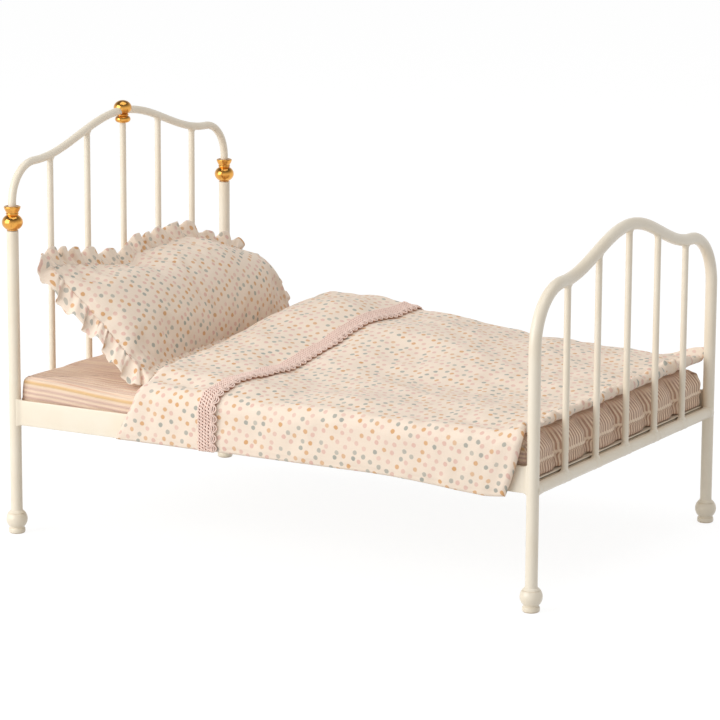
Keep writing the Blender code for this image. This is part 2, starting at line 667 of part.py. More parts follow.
class DuvetSurface:
    """Places on the duvet by how far along the bed and at which station across it."""

    def near_hang(self, station):
        """How far down the near side a station hangs: 0 on the bed's top, 1 at the hem."""
        y, z, _, _ = drape_section(0.0)[station]
        return max((MATTRESS_TOP - z) / (DUVET_TURN + DUVET_NEAR_DROP), 0.0) if y < 0 else 0.0

    def fold_x(self, station):
        """Head edge, raked towards the head where it hangs on the near side."""
        y = drape_section(0.0)[station][0]
        return FOLD_EDGE + FOLD_SKEW * y - FOLD_RAKE * self.near_hang(station)

    def hem_x(self, station):
        """Hem of the folded-back layer."""
        return FOLD_HEM + FOLD_HEM_SKEW * drape_section(0.0)[station][0]

    def foot_x(self, station):
        """Foot hem, rounded at the hanging near corner."""
        return DUVET_FOOT - DUVET_CORNER_ROUND * self.near_hang(station) ** 3

    def thickness(self, x, station, folded):
        """Loft of the quilt, which grows from its hems inward and bunches up on the far side."""
        y, _, _, inward = drape_section(x)[station]
        bunch = ease((y - DUVET_BUNCH_START) / DUVET_BUNCH_RUN)
        far_loft = DUVET_FAR_LOFT + (DUVET_FOOT_LOFT - DUVET_FAR_LOFT) * ease(x / FOOT_X)
        loft = DUVET_NEAR_LOFT + (far_loft - DUVET_NEAR_LOFT) * bunch
        build = min(ease(inward / DUVET_SIDE_RUN), ease((DUVET_FOOT - x) / DUVET_FOOT_RUN))
        thick = DUVET_HEM + (loft - DUVET_HEM) * build
        if folded:
            fold_loft = FOLD_NEAR_LOFT + (FOLD_FAR_LOFT - FOLD_NEAR_LOFT) * bunch
            build *= ease((self.hem_x(station) - x) / FOLD_TAPER)
            thick += FOLD_SIDE + (fold_loft - FOLD_SIDE) * build
        nose = min((x - self.fold_x(station)) / FOLD_NOSE, 1.0)
        return thick * (FOLD_LIP + (1 - FOLD_LIP) * math.sqrt(max(1 - (1 - nose) ** 2, 0.0)))

    def at(self, x, station, folded, off=0.0):
        """The inner point and a point off the outer face."""
        y, z, facing, _ = drape_section(x)[station]
        inner = Vector((x, y, z))
        thick = self.thickness(x, station, folded)
        return inner, inner + Vector((0.0, facing.x, facing.y)) * (thick + off)


def make_duvet(cotton, crochet, lift):
    """A quilt over the mattress with its head end folded back, and lace on that fold's hem."""
    surface = DuvetSurface()
    stations = range(len(drape_section(0.0)))
    fold_shares = (0.0, 0.03, 0.1, 0.2, 0.35, 0.55, 0.78, 1.0)
    body_shares = (0.006, 0.15, 0.3, 0.45, 0.58, 0.7, 0.8, 0.88, 0.94, 1.0)
    lower, upper = [], []
    for station in stations:
        head, hem, foot = surface.fold_x(station), surface.hem_x(station), surface.foot_x(station)
        lace = hem - LACE_WIDTH
        places = [(head + (lace - head) * share, True) for share in fold_shares] + [(hem, True)]
        places += [(hem + (foot - hem) * share, False) for share in body_shares]
        pairs = [surface.at(x, station, folded) for x, folded in places]
        lower.append([inner for inner, _ in pairs])
        upper.append([outer for _, outer in pairs])
    add_piece("duvet", slab_mesh(lower, upper, "duvet"), cotton, lift)
    make_lace(surface, stations, crochet, lift)


def make_lace(surface, stations, crochet, lift):
    lower, upper = [], []
    for station in stations:
        hem = surface.hem_x(station)
        places = [hem - LACE_WIDTH, hem]
        lower.append([surface.at(x, station, True, JOINT_GAP)[1] for x in places])
        upper.append([surface.at(x, station, True, JOINT_GAP + LACE_GAUGE)[1] for x in places])
    add_piece("duvet_lace", slab_mesh(lower, upper, "duvet_lace"), crochet, lift)


def main():
    clear_scene()
    enamel = make_material("cream_enamel", (0.85, 0.80, 0.70), 0.35)
    brass = make_material("polished_brass", (0.83, 0.50, 0.13), 0.22, 1.0)
    ticking = make_material("striped_ticking", (0.62, 0.40, 0.31), 0.85)
    cotton = make_material("dotted_cotton", (0.85, 0.70, 0.60), 0.9)
    crochet = make_material("pink_crochet", (0.78, 0.50, 0.43), 0.9)
    frame = make_empty("bedstead")
    mattress_lift = make_empty("mattress_lift", frame)
    duvet_lift = make_empty("duvet_lift", mattress_lift)
    pillow_lift = make_empty("pillow_lift", mattress_lift)
    make_headboard(enamel, brass, frame)
    make_footboard(enamel, frame)
    make_spindles(enamel, frame)
    make_crossbars(enamel, frame)
    make_rails(enamel, frame)
    make_panel(enamel, frame)
    make_feet(enamel, frame)
    make_mattress(ticking, mattress_lift)
    make_pillow(cotton, pillow_lift)
    make_duvet(cotton, crochet, duvet_lift)


main()
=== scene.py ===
"""Looks of a doll's tube bedstead and its bedding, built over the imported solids.

Metres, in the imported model's own frame: +X runs from the headboard to the footboard, the near long
side is at -Y and the floor is at Z 0. The tubes and the turned beads are made again with finer bends,
weld fillets and grooves. The mattress, the pillow and the duvet are made as sewn and stuffed cloth.
"""
import sys
import logging
import math
from abc import ABC, abstractmethod
from dataclasses import dataclass
from enum import Enum
from typing import Any, Optional, Sequence, Union

import bmesh
import bpy
import numpy as np
from mathutils import Matrix, Vector


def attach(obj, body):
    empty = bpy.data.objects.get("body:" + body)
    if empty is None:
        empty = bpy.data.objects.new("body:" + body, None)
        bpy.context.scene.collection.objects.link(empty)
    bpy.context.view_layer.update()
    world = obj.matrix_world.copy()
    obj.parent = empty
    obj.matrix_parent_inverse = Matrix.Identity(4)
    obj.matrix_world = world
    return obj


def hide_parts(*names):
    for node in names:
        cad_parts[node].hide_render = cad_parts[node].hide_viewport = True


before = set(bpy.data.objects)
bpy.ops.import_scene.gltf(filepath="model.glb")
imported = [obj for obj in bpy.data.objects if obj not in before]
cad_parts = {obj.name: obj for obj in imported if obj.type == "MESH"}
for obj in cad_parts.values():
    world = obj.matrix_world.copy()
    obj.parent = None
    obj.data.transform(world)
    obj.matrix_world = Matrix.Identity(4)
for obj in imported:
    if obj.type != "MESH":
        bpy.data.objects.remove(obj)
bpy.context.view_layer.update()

LOG = logging.getLogger("bedstead")
CLOTH_MAP = "cloth"            # UV layer that holds places on the flat cloth, in metres

Array = np.ndarray
Socket = bpy.types.NodeSocket
Material = bpy.types.Material
Span = tuple[float, float]
Triple = tuple[float, float, float]
Colour = Triple
Outline = Sequence[tuple[float, float]]
Feed = Union[float, Sequence[float], Socket]

# Sizes shared by several pieces, as in the part's source
HALF_LENGTH = 0.1075           # middle of the bed to the posts' axes
HALF_WIDTH = 0.0735
CROSSBAR_HEIGHT = 0.0427
POST_DIAMETER = 0.0044
SPINDLE_DIAMETER = 0.0024
SPINDLE_PLACES = (-0.0490, -0.0245, 0.0, 0.0245, 0.0490)
LEG_BOTTOM = 0.00908
MATTRESS_TOP = 0.0594
CLEARANCE = 0.0003

QUARTER = math.pi / 2
WHITE = (1.0, 1.0, 1.0)
EVEN = (1.0, 1.0, 1.0)         # scale that stretches nothing
GREY_MIDDLE = (0.5, 0.5, 0.5)  # middle of a noise's colours


class Body(Enum):
    """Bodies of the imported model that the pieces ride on."""

    FRAME = "frame"
    MATTRESS = "mattress"
    DUVET = "duvet"
    PILLOW = "pillow"


class Side(Enum):
    """The bed's two long sides."""

    NEAR = -1
    FAR = 1


class Edges(Enum):
    """How a mesh is shaded: the angle in degrees from which an edge stays crisp."""

    SOFT = 180.0
    CRISP = 50.0


def ease(share: Any) -> Array:
    """Smooth step from 0 to 1 over shares from 0 to 1."""
    share = np.clip(share, 0.0, 1.0)
    return share * share * (3 - 2 * share)


def rounded(way: Any, run: float) -> Array:
    """Rise of a quarter round from 0 at its edge to 1 at the end of its run."""
    back = 1 - np.clip(np.asarray(way) / run, 0.0, 1.0)
    return np.sqrt(1 - back * back)


def ridge(way: Any, width: float) -> Array:
    """Bell of height 1 about 0."""
    return np.exp(-(np.asarray(way) / width) ** 2)


def full_turn(sides: int) -> Array:
    """Even angles round a circle."""
    return np.linspace(0, 2 * math.pi, sides, endpoint=False)


def ways_along(line: Array) -> Array:
    """Way to each point of a line from its first one."""
    return np.concatenate([[0.0], np.cumsum(np.linalg.norm(np.diff(line, axis=0), axis=1))])


@dataclass(frozen=True)
class Rise:
    """Smooth rise from 0 to 1 that starts at a place, with a negative run where it goes backwards."""

    start: float
    run: float

    def at(self, place: Any) -> Array:
        """Share of the rise at each place."""
        return ease((place - self.start) / self.run)


@dataclass(frozen=True)
class Bell:
    """Bell of height 1 about its middle."""

    middle: float
    width: float

    def at(self, place: Any) -> Array:
        """Height of the bell at each place."""
        return ridge(place - self.middle, self.width)


@dataclass(frozen=True)
class Ripples:
    """Smooth seeded ripples over a plane.

    Attributes:
        height: most of them stay under it.
        length: middle wave length, in metres.
        seed: number that sets the ripples.
        waves: how many waves are added up.
        lengths: shortest and longest wave, as shares of the middle one.
    """

    height: float
    length: float
    seed: int
    waves: int = 16
    lengths: Span = (0.65, 1.6)

    def at(self, first: Any, second: Any) -> Array:
        """Heights of the ripples.

        Args:
            first: places along the plane's first direction, in metres.
            second: places along its second direction.

        Returns:
            The height at each place.
        """
        rng = np.random.default_rng(self.seed)
        total = np.zeros(np.broadcast(first, second).shape)
        for _ in range(self.waves):
            heading, phase = rng.uniform(0, 2 * math.pi, 2)
            pace = 2 * math.pi / (self.length * rng.uniform(*self.lengths))
            way = first * math.cos(heading) + second * math.sin(heading)
            total = total + np.sin(pace * way + phase)
        return self.height * total / math.sqrt(self.waves)


@dataclass
class Shape:
    """A mesh in the making.

    Attributes:
        points: one row per point.
        faces: corner numbers of each face.
        cloth: place of each face corner on the flat cloth, in the order of the faces.
    """

    points: Array
    faces: list
    cloth: Optional[Array] = None

    @staticmethod
    def joined(shapes: Sequence["Shape"]) -> "Shape":
        """Joins several shapes.

        Args:
            shapes: the shapes, none of them with cloth places.

        Returns:
            One shape that holds them all.
        """
        faces: list = []
        start = 0
        for shape in shapes:
            faces += [tuple(k + start for k in face) for face in shape.faces]
            start += len(shape.points)
        return Shape(np.concatenate([shape.points for shape in shapes]), faces)

    def mesh(self, name: str) -> bpy.types.Mesh:
        """Turns the shape into a Blender mesh.

        Args:
            name: name of the mesh.

        Returns:
            The mesh, with its faces turned outwards.
        """
        mesh = bpy.data.meshes.new(name)
        mesh.from_pydata(self.points.tolist(), [], self.faces)
        if self.cloth is not None:
            layer = mesh.uv_layers.new(name=CLOTH_MAP)
            layer.uv.foreach_set("vector", np.asarray(self.cloth, np.float32).ravel())
        work = bmesh.new()
        work.from_mesh(mesh)
        bmesh.ops.recalc_face_normals(work, faces=work.faces)
        work.to_mesh(mesh)
        work.free()
        return mesh


def corners_of(values: Array) -> Array:
    """Values at the corners of every cell of a grid, cell by cell."""
    cells = np.stack([values[:-1, :-1], values[:-1, 1:], values[1:, 1:], values[1:, :-1]], axis=2)
    return cells.reshape(-1, 4, *values.shape[2:])


def loft(rings: Array, cloth: Optional[Array] = None) -> Shape:
    """A skin over closed rings of points, with the first and the last ring filled.

    Args:
        rings: ring by ring, the points round each of them.
        cloth: flat places, with one more column than the rings.

    Returns:
        The skin as a shape.
    """
    count, size = rings.shape[:2]
    numbers = np.arange(count * size).reshape(count, size)
    numbers = np.concatenate([numbers, numbers[:, :1]], axis=1)
    faces = [tuple(face) for face in corners_of(numbers).tolist()]
    faces += [tuple(numbers[0, :-1].tolist()), tuple(numbers[-1, :-1].tolist())]
    spots = None
    if cloth is not None:
        spots = np.concatenate([corners_of(cloth).reshape(-1, 2), cloth[0, :-1], cloth[-1, :-1]])
    return Shape(rings.reshape(-1, 3), faces, spots)


def both_sides(cloth: Array) -> Array:
    """Flat places of a grid's cells for an envelope's outer and inner face."""
    flat = corners_of(cloth)
    return np.concatenate([flat.reshape(-1, 2), flat[:, ::-1].reshape(-1, 2)])


def envelope(over: Array, under: Array, cloth: Array) -> Shape:
    """Two grids of points that share their border, as a closed skin.

    Args:
        over: outer grid, rows by columns.
        under: inner grid, whose border lies on that of the outer one.
        cloth: flat places of the grid.

    Returns:
        The closed skin as a shape.
    """
    rows, columns = over.shape[:2]
    top = np.arange(rows * columns).reshape(rows, columns)
    low = top.copy()
    inside = np.zeros((rows, columns), bool)
    inside[1:-1, 1:-1] = True
    low[inside] = rows * columns + np.arange(inside.sum())
    faces = [tuple(face) for face in corners_of(top).tolist()]
    faces += [tuple(face[::-1]) for face in corners_of(low).tolist()]
    return Shape(np.concatenate([over.reshape(-1, 3), under[inside]]), faces, both_sides(cloth))


def laid_flat(over: Array, row: int, column: int, first_axis: int = 0) -> Array:
    """Flat places of a grid of points, measured along it.

    Args:
        over: the grid, rows by columns.
        row: row that the ways along the columns count from.
        column: column that the ways along the rows count from.
        first_axis: the first of the axes that count along a row.

    Returns:
        The flat places.
    """
    along = np.linalg.norm(np.diff(over, axis=0), axis=2)
    across = np.linalg.norm(np.diff(over[..., first_axis:], axis=1), axis=2)
    u = np.concatenate([np.zeros((1, over.shape[1])), np.cumsum(along, axis=0)])
    v = np.concatenate([np.zeros((over.shape[0], 1)), np.cumsum(across, axis=1)], axis=1)
    return np.stack([u - u[row], v - v[:, column:column + 1]], axis=2)


def slab(low: Sequence[float], high: Sequence[float]) -> Shape:
    """A box between its lowest and its highest corner."""
    ring = [(low[1], low[2]), (high[1], low[2]), (high[1], high[2]), (low[1], high[2])]
    return loft(np.array([[(x, y, z) for y, z in ring] for x in (low[0], high[0])]))


def tube(path: Any, radius: Any, sides: int = 28) -> Shape:
    """A round bar along a path.

    Args:
        path: points of its axis.
        radius: one radius, or one for each point.
        sides: points round the bar.

    Returns:
        The bar with closed ends.
    """
    path = np.asarray(path, float)
    radius = np.broadcast_to(np.asarray(radius, float), len(path))
    ways = np.gradient(path, axis=0)
    ways /= np.linalg.norm(ways, axis=1, keepdims=True)
    lengthwise = 0.9
    out = np.array((1.0, 0.0, 0.0)) if abs(ways[0][0]) < lengthwise else np.array((0.0, 0.0, 1.0))
    turns = full_turn(sides)
    rings = np.zeros((len(path), sides, 3))
    for k, way in enumerate(ways):
        out = out - way * (out @ way)
        out /= np.linalg.norm(out)
        other = np.cross(way, out)
        circle = np.cos(turns)[:, None] * out + np.sin(turns)[:, None] * other
        rings[k] = path[k] + radius[k] * circle
    return loft(rings)


@dataclass(frozen=True)
class Round:
    """A round of a turned outline.

    Attributes:
        centre: (radius, height) of its centre.
        radius: its radius.
        start: angle of its first point in degrees, 0 pointing outwards and 90 up.
        end: angle of its last point.
        steps: steps between them.
        squash: its height over its width.
    """

    centre: Span
    radius: float
    start: float
    end: float
    steps: int
    squash: float = 1.0

    def points(self) -> Outline:
        """Follows the round from its first point to its last.

        Returns:
            The (radius, height) points.
        """
        turns = np.radians(np.linspace(self.start, self.end, self.steps + 1))
        return [(self.centre[0] + self.radius * math.cos(turn),
                 self.centre[1] + self.squash * self.radius * math.sin(turn)) for turn in turns]


@dataclass(frozen=True)
class Turning:
    """A piece turned about an upright axis.

    Attributes:
        stretches: its outer side from the top down, as rounds and runs of (radius, height) points.
        sides: points round the piece.
    """

    stretches: tuple
    sides: int = 56

    def shape(self, place: Sequence[float]) -> Shape:
        """Turns the piece.

        Args:
            place: where its axis stands, and the height that the outline counts from.

        Returns:
            The piece, closed at both ends.
        """
        outline: list = []
        for stretch in self.stretches:
            outline += stretch.points() if isinstance(stretch, Round) else stretch
        turns = full_turn(self.sides)
        radius, height = (np.array(values)[:, None] for values in zip(*outline))
        x = place[0] + radius * np.cos(turns)
        y = place[1] + radius * np.sin(turns)
        return loft(np.stack([x, y, place[2] + height + 0 * x], axis=2))


class NodeBench:
    """Lays out the nodes of one material, or of the world."""

    SHARE, FIRST, SECOND, RESULT = 0, 6, 7, 2     # a Mix node's sockets for colours

    def __init__(self, owner: Union[Material, bpy.types.World]) -> None:
        """Starts the nodes of a new material or world.

        Args:
            owner: the material or world.
        """
        owner.use_nodes = True
        self.owner = owner
        self.tree = owner.node_tree

    def feed(self, socket: Socket, value: Feed) -> None:
        """Links a socket, or sets a value that is the same all over.

        Args:
            socket: the input to feed.
            value: a link, a number, a direction or a colour.
        """
        if isinstance(value, Socket):
            self.tree.links.new(value, socket)
        elif socket.type == "RGBA":
            socket.default_value = (*value, 1.0)
        else:
            socket.default_value = value

    def add(self, kind: str, feeds: Optional[dict] = None, **settings: Any) -> bpy.types.Node:
        """Adds a node.

        Args:
            kind: Blender's name for it, after "ShaderNode".
            feeds: values or links by input.
            settings: the node's own options.

        Returns:
            The node.
        """
        node = self.tree.nodes.new("ShaderNode" + kind)
        for name, value in settings.items():
            setattr(node, name, value)
        for key, value in (feeds or {}).items():
            self.feed(node.inputs[key], value)
        return node

    def sum(self, operation: str, first: Feed, second: Feed = 0.0, third: Feed = 0.0) -> Socket:
        """Result of a sum on up to three numbers."""
        return self.add("Math", {0: first, 1: second, 2: third}, operation=operation).outputs[0]

    def but(self, share: Feed) -> Socket:
        """What a share leaves of 1."""
        return self.sum("SUBTRACT", 1.0, share)

    def mix(self, share: Feed, first: Feed, second: Feed, blend: str = "MIX") -> Socket:
        """Colour between two colours."""
        feeds = {self.SHARE: share, self.FIRST: first, self.SECOND: second}
        return self.add("Mix", feeds, data_type="RGBA", blend_type=blend).outputs[self.RESULT]

    def step(self, value: Feed, low: float, high: float) -> Socket:
        """Smooth step from 0 to 1 between two values."""
        feeds = {"Value": value, "From Min": low, "From Max": high}
        return self.add("MapRange", feeds, interpolation_type="SMOOTHSTEP").outputs["Result"]

    def vectors(self, operation: str, feeds: dict) -> Socket:
        """Result of a sum on vectors."""
        return self.add("VectorMath", feeds, operation=operation).outputs[0]

    def stretched(self, place: Feed, scale: Sequence[float], turn: float = 0.0) -> Socket:
        """Places scaled along each direction, after a turn about the third in degrees."""
        feeds = {"Vector": place, "Scale": scale, "Rotation": (0.0, 0.0, math.radians(turn))}
        return self.add("Mapping", feeds).outputs["Vector"]

    def ramp(self, value: Feed, stops: Sequence[tuple[float, Colour]], blend: str) -> Socket:
        """Colours picked by a number.

        Args:
            value: the number, from 0 to 1.
            stops: (number, colour) pairs.
            blend: how the ramp goes from stop to stop.

        Returns:
            The colour.
        """
        node = self.add("ValToRGB", {"Fac": value})
        node.color_ramp.interpolation = blend
        marks = node.color_ramp.elements
        while len(marks) < len(stops):
            marks.new(1.0)
        for mark, (place, colour) in zip(marks, stops):
            mark.position = place
            mark.color = (*colour, 1.0)
        return node.outputs["Color"]

    def dress(self, **feeds: Feed) -> Material:
        """Feeds the material's shader.

        Args:
            feeds: values or links by input, with _ for a space in its name.

        Returns:
            The material.
        """
        shader = self.tree.nodes["Principled BSDF"]
        for key, value in feeds.items():
            self.feed(shader.inputs[key.replace("_", " ")], value)
        return self.owner


@dataclass(frozen=True)
class Cloud:
    """Cloudy pattern of a finish.

    Attributes:
        scale: clouds to the metre, for all directions or for each of three.
        detail: finer layers on top.
        span: values between which it goes from none to full, where it isn't used as it is.
    """

    scale: Union[float, Triple]
    detail: float = 2.0
    span: Optional[Span] = None

    def lay(self, bench: NodeBench, place: Feed, output: str = "Fac") -> Socket:
        """Lays out the pattern.

        Args:
            bench: bench of the material.
            place: places on the surface, in metres.
            output: the node's output to take.

        Returns:
            Numbers from 0 to 1, or colours.
        """
        scale = self.scale
        if isinstance(scale, tuple):
            place, scale = bench.stretched(place, scale), 1.0
        feeds = {"Vector": place, "Scale": scale, "Detail": self.detail}
        cloud = bench.add("TexNoise", feeds).outputs[output]
        return bench.step(cloud, *self.span) if self.span else cloud


@dataclass(frozen=True)
class Relief:
    """Fine relief of a finish.

    Attributes:
        depth: how far a height of 1 raises the surface, in metres.
        strength: share of the relief that shows.
    """

    depth: float
    strength: float

    def lay(self, bench: NodeBench, height: Feed, under: Optional[Socket] = None) -> Socket:
        """Lays out the relief.

        Args:
            bench: bench of the material.
            height: heights from 0 to 1.
            under: normal of a coarser relief that it lies on.

        Returns:
            The normal of the raised surface.
        """
        feeds: dict = {"Height": height, "Distance": self.depth, "Strength": self.strength}
        if under is not None:
            feeds["Normal"] = under
        return bench.add("Bump", feeds).outputs["Normal"]


@dataclass(frozen=True)
class Creases:
    """Places of a finish that other surfaces close in, where the finishes paint shade.

    Attributes:
        reach: how near those surfaces are, in metres.
        span: openness between which a place goes from closed to open.
        rays: how many rays look for them.
    """

    reach: float
    span: Span
    rays: int = 6

    def openness(self, bench: NodeBench) -> Socket:
        """0 in the creases and 1 in the open."""
        node = bench.add("AmbientOcclusion", {"Distance": self.reach}, samples=self.rays)
        return bench.step(node.outputs["AO"], *self.span)


class Finish(ABC):
    """A surface finish, made into a material once."""

    slot: str
    _made: dict = {}

    @abstractmethod
    def lay_out(self, bench: NodeBench) -> Material:
        """Lays out the finish's nodes.

        Args:
            bench: bench of the material.

        Returns:
            The material.
        """

    def material(self) -> Material:
        """Makes the finish's material, or gives the one made before.

        Returns:
            The material.
        """
        if self not in Finish._made:
            Finish._made[self] = self.lay_out(NodeBench(bpy.data.materials.new(type(self).__name__)))
        return Finish._made[self]


@dataclass(frozen=True)
class EnamelPaint(Finish):
    """Thick satin cream paint, with shade painted darker into the corners of the welds and other close
    corners.
    """

    colour: Colour = (0.865, 0.765, 0.610)
    thin: Colour = (0.890, 0.805, 0.665)
    mottle: Cloud = Cloud(70.0, 3.0, (0.3, 0.7))
    # Painted shade: corners that other surfaces close in are darkened towards this colour.
    painted_corner_shade: Colour = (0.640, 0.500, 0.345)
    corners: Creases = Creases(0.0016, (0.15, 0.75), 8)
    ripple: Cloud = Cloud(190.0, 1.0)
    ripple_relief: Relief = Relief(0.00012, 0.35)
    peel: Cloud = Cloud(1500.0)
    peel_relief: Relief = Relief(0.00002, 0.35)
    roughness: float = 0.26
    rub: Cloud = Cloud(400.0, 3.0)
    rub_roughness: float = 0.16
    coat: float = 0.25
    coat_roughness: float = 0.18
    slot: str = "cream_enamel"

    def lay_out(self, bench: NodeBench) -> Material:
        """Lays out mottling, painted shade in the corners and the paint's own ripple.

        Args:
            bench: bench of the material.

        Returns:
            The material.
        """
        place = bench.add("TexCoord").outputs["Object"]
        body = bench.mix(self.mottle.lay(bench, place), self.colour, self.thin)
        # painted shade in the corners that other surfaces close in
        colour = bench.mix(self.corners.openness(bench), self.painted_corner_shade, body)
        ripple = self.ripple_relief.lay(bench, self.ripple.lay(bench, place))
        peel = self.peel_relief.lay(bench, self.peel.lay(bench, place), ripple)
        rub = bench.sum("MULTIPLY_ADD", self.rub.lay(bench, place), self.rub_roughness, self.roughness)
        return bench.dress(Base_Color=colour, Roughness=rub, Normal=peel, Coat_Weight=self.coat,
                           Coat_Roughness=self.coat_roughness)


@dataclass(frozen=True)
class PolishedBrass(Finish):
    """Turned brass with fine lathe lines and a breath of tarnish."""

    colour: Colour = (0.800, 0.390, 0.075)
    tarnish: Colour = (0.480, 0.200, 0.035)
    cloud: Cloud = Cloud(420.0, 4.0, (0.45, 0.8))
    lathe: Cloud = Cloud((40.0, 40.0, 9000.0))
    lathe_relief: Relief = Relief(0.000012, 0.5)
    roughness: float = 0.15
    tarnish_roughness: float = 0.16
    coat: float = 0.35
    coat_roughness: float = 0.12
    slot: str = "polished_brass"

    def lay_out(self, bench: NodeBench) -> Material:
        """Lays out tarnish and lathe lines.

        Args:
            bench: bench of the material.

        Returns:
            The material.
        """
        place = bench.add("TexCoord").outputs["Object"]
        cloud = self.cloud.lay(bench, place)
        colour = bench.mix(cloud, self.colour, self.tarnish)
        lines = self.lathe_relief.lay(bench, self.lathe.lay(bench, place))
        dull = bench.sum("MULTIPLY_ADD", cloud, self.tarnish_roughness, self.roughness)
        return bench.dress(Base_Color=colour, Metallic=1.0, Roughness=dull, Normal=lines,
                           Coat_Weight=self.coat, Coat_Roughness=self.coat_roughness)


@dataclass(frozen=True)
class DottedCotton(Finish):
    """Plain-woven cream cotton printed with small dots in three dusty colours."""

    ground: Colour = (0.930, 0.805, 0.665)
    ground_warm: Colour = (0.920, 0.770, 0.640)
    cloud: Cloud = Cloud(45.0)
    pink: Colour = (0.790, 0.490, 0.410)
    ochre: Colour = (0.700, 0.345, 0.110)
    sage: Colour = (0.330, 0.360, 0.320)
    ochre_from: float = 0.42
    sage_from: float = 0.72
    pitch: float = 0.00335
    print_turn: float = 23.0
    scatter: float = 0.48
    dot_radius: float = 0.00083
    dot_blur: float = 0.045
    shake: Cloud = Cloud(900.0)
    shake_width: float = 0.0004
    ink_least: float = 0.56
    ink_spread: float = 0.34
    blotch: Cloud = Cloud(2600.0, 2.0, (0.02, 0.42))
    thread: float = 0.00036
    gap: Colour = (0.55, 0.42, 0.34)
    gap_tint: float = 0.10
    weave_relief: Relief = Relief(0.00005, 0.8)
    warp_slub: Cloud = Cloud((2600.0, 140.0, 1.0))
    weft_slub: Cloud = Cloud((140.0, 2600.0, 1.0))
    slub_span: Span = (0.75, 1.25)
    slub_tint: float = 0.10
    slub_height: float = 0.35
    slub_relief: Relief = Relief(0.00007, 0.7)
    crumple: Cloud = Cloud(260.0, 3.0)
    crumple_relief: Relief = Relief(0.00022, 0.35)
    # Painted shade: creases are darkened towards this colour, by ambient occlusion.
    crease: Colour = (0.740, 0.440, 0.310)
    creases: Creases = Creases(0.0022, (0.1, 0.7))
    crease_tint: float = 0.85
    roughness: float = 0.88
    sheen: float = 0.18
    sheen_roughness: float = 0.45
    gloss: float = 0.2
    slot: str = "dotted_cotton"

    def lay_out(self, bench: NodeBench) -> Material:
        """Lays out the weave, the print and the shade in the creases.

        Args:
            bench: bench of the material.

        Returns:
            The material.
        """
        place = bench.add("UVMap", uv_map=CLOTH_MAP).outputs["UV"]
        weave = self.weave(bench, place)
        slubs = bench.sum("ADD", self.warp_slub.lay(bench, place), self.weft_slub.lay(bench, place))
        threads = bench.step(slubs, *self.slub_span)
        ground = bench.mix(self.cloud.lay(bench, place), self.ground, self.ground_warm)
        tint = bench.sum("MULTIPLY", threads, self.slub_tint)
        ground = bench.mix(tint, ground, self.ground_warm, "MULTIPLY")
        printed = self.print_over(bench, place, ground)
        gaps = bench.sum("MULTIPLY_ADD", weave, -self.gap_tint, self.gap_tint)
        shaded = bench.mix(gaps, printed, self.gap)
        # painted shade in the creases
        depth = bench.sum("MULTIPLY", bench.but(self.creases.openness(bench)), self.crease_tint)
        shaded = bench.mix(depth, shaded, self.crease, "MULTIPLY")
        crumple = self.crumple_relief.lay(bench, self.crumple.lay(bench, place))
        slub = self.slub_relief.lay(bench, bench.sum("MULTIPLY", threads, self.slub_height), crumple)
        woven = self.weave_relief.lay(bench, weave, slub)
        return bench.dress(Base_Color=shaded, Roughness=self.roughness, Normal=woven,
                           Sheen_Weight=self.sheen, Sheen_Roughness=self.sheen_roughness,
                           Specular_IOR_Level=self.gloss)

    def weave(self, bench: NodeBench, place: Feed) -> Socket:
        """Lays out the plain weave.

        Args:
            bench: bench of the material.
            place: places on the flat cloth.

        Returns:
            Heights of the threads, from 0 to 1.
        """
        split = bench.add("SeparateXYZ", {"Vector": place})
        pace = 2 * math.pi / self.thread
        waves = []
        for axis in ("X", "Y"):
            wave = bench.sum("SINE", bench.sum("MULTIPLY", split.outputs[axis], pace))
            waves.append(bench.sum("MULTIPLY_ADD", wave, 0.5, 0.5))
        return bench.sum("MULTIPLY", *waves)

    def print_over(self, bench: NodeBench, place: Feed, ground: Feed) -> Socket:
        """Prints the dots over a ground colour.

        Args:
            bench: bench of the material.
            place: places on the flat cloth.
            ground: colour under the dots.

        Returns:
            The printed colour.
        """
        shake = bench.vectors("SUBTRACT", {0: self.shake.lay(bench, place, "Color"), 1: GREY_MIDDLE})
        wobble = bench.vectors("SCALE", {0: shake, "Scale": self.shake_width})
        moved = bench.stretched(bench.vectors("ADD", {0: place, 1: wobble}), EVEN, self.print_turn)
        feeds = {"Vector": moved, "Scale": 1 / self.pitch, "Randomness": self.scatter}
        cells = bench.add("TexVoronoi", feeds, voronoi_dimensions="2D", feature="F1")
        reach = self.dot_radius / self.pitch
        beyond = bench.step(cells.outputs["Distance"], reach - self.dot_blur, reach + self.dot_blur)
        pick = bench.add("SeparateColor", {"Color": cells.outputs["Color"]})
        inks = [(0.0, self.pink), (self.ochre_from, self.ochre), (self.sage_from, self.sage)]
        ink = bench.ramp(pick.outputs["Red"], inks, "CONSTANT")
        strength = bench.sum("MULTIPLY_ADD", pick.outputs["Green"], self.ink_spread, self.ink_least)
        cover = bench.sum("MULTIPLY", bench.but(beyond), strength)
        cover = bench.sum("MULTIPLY", cover, self.blotch.lay(bench, place))
        return bench.mix(cover, ground, ink)


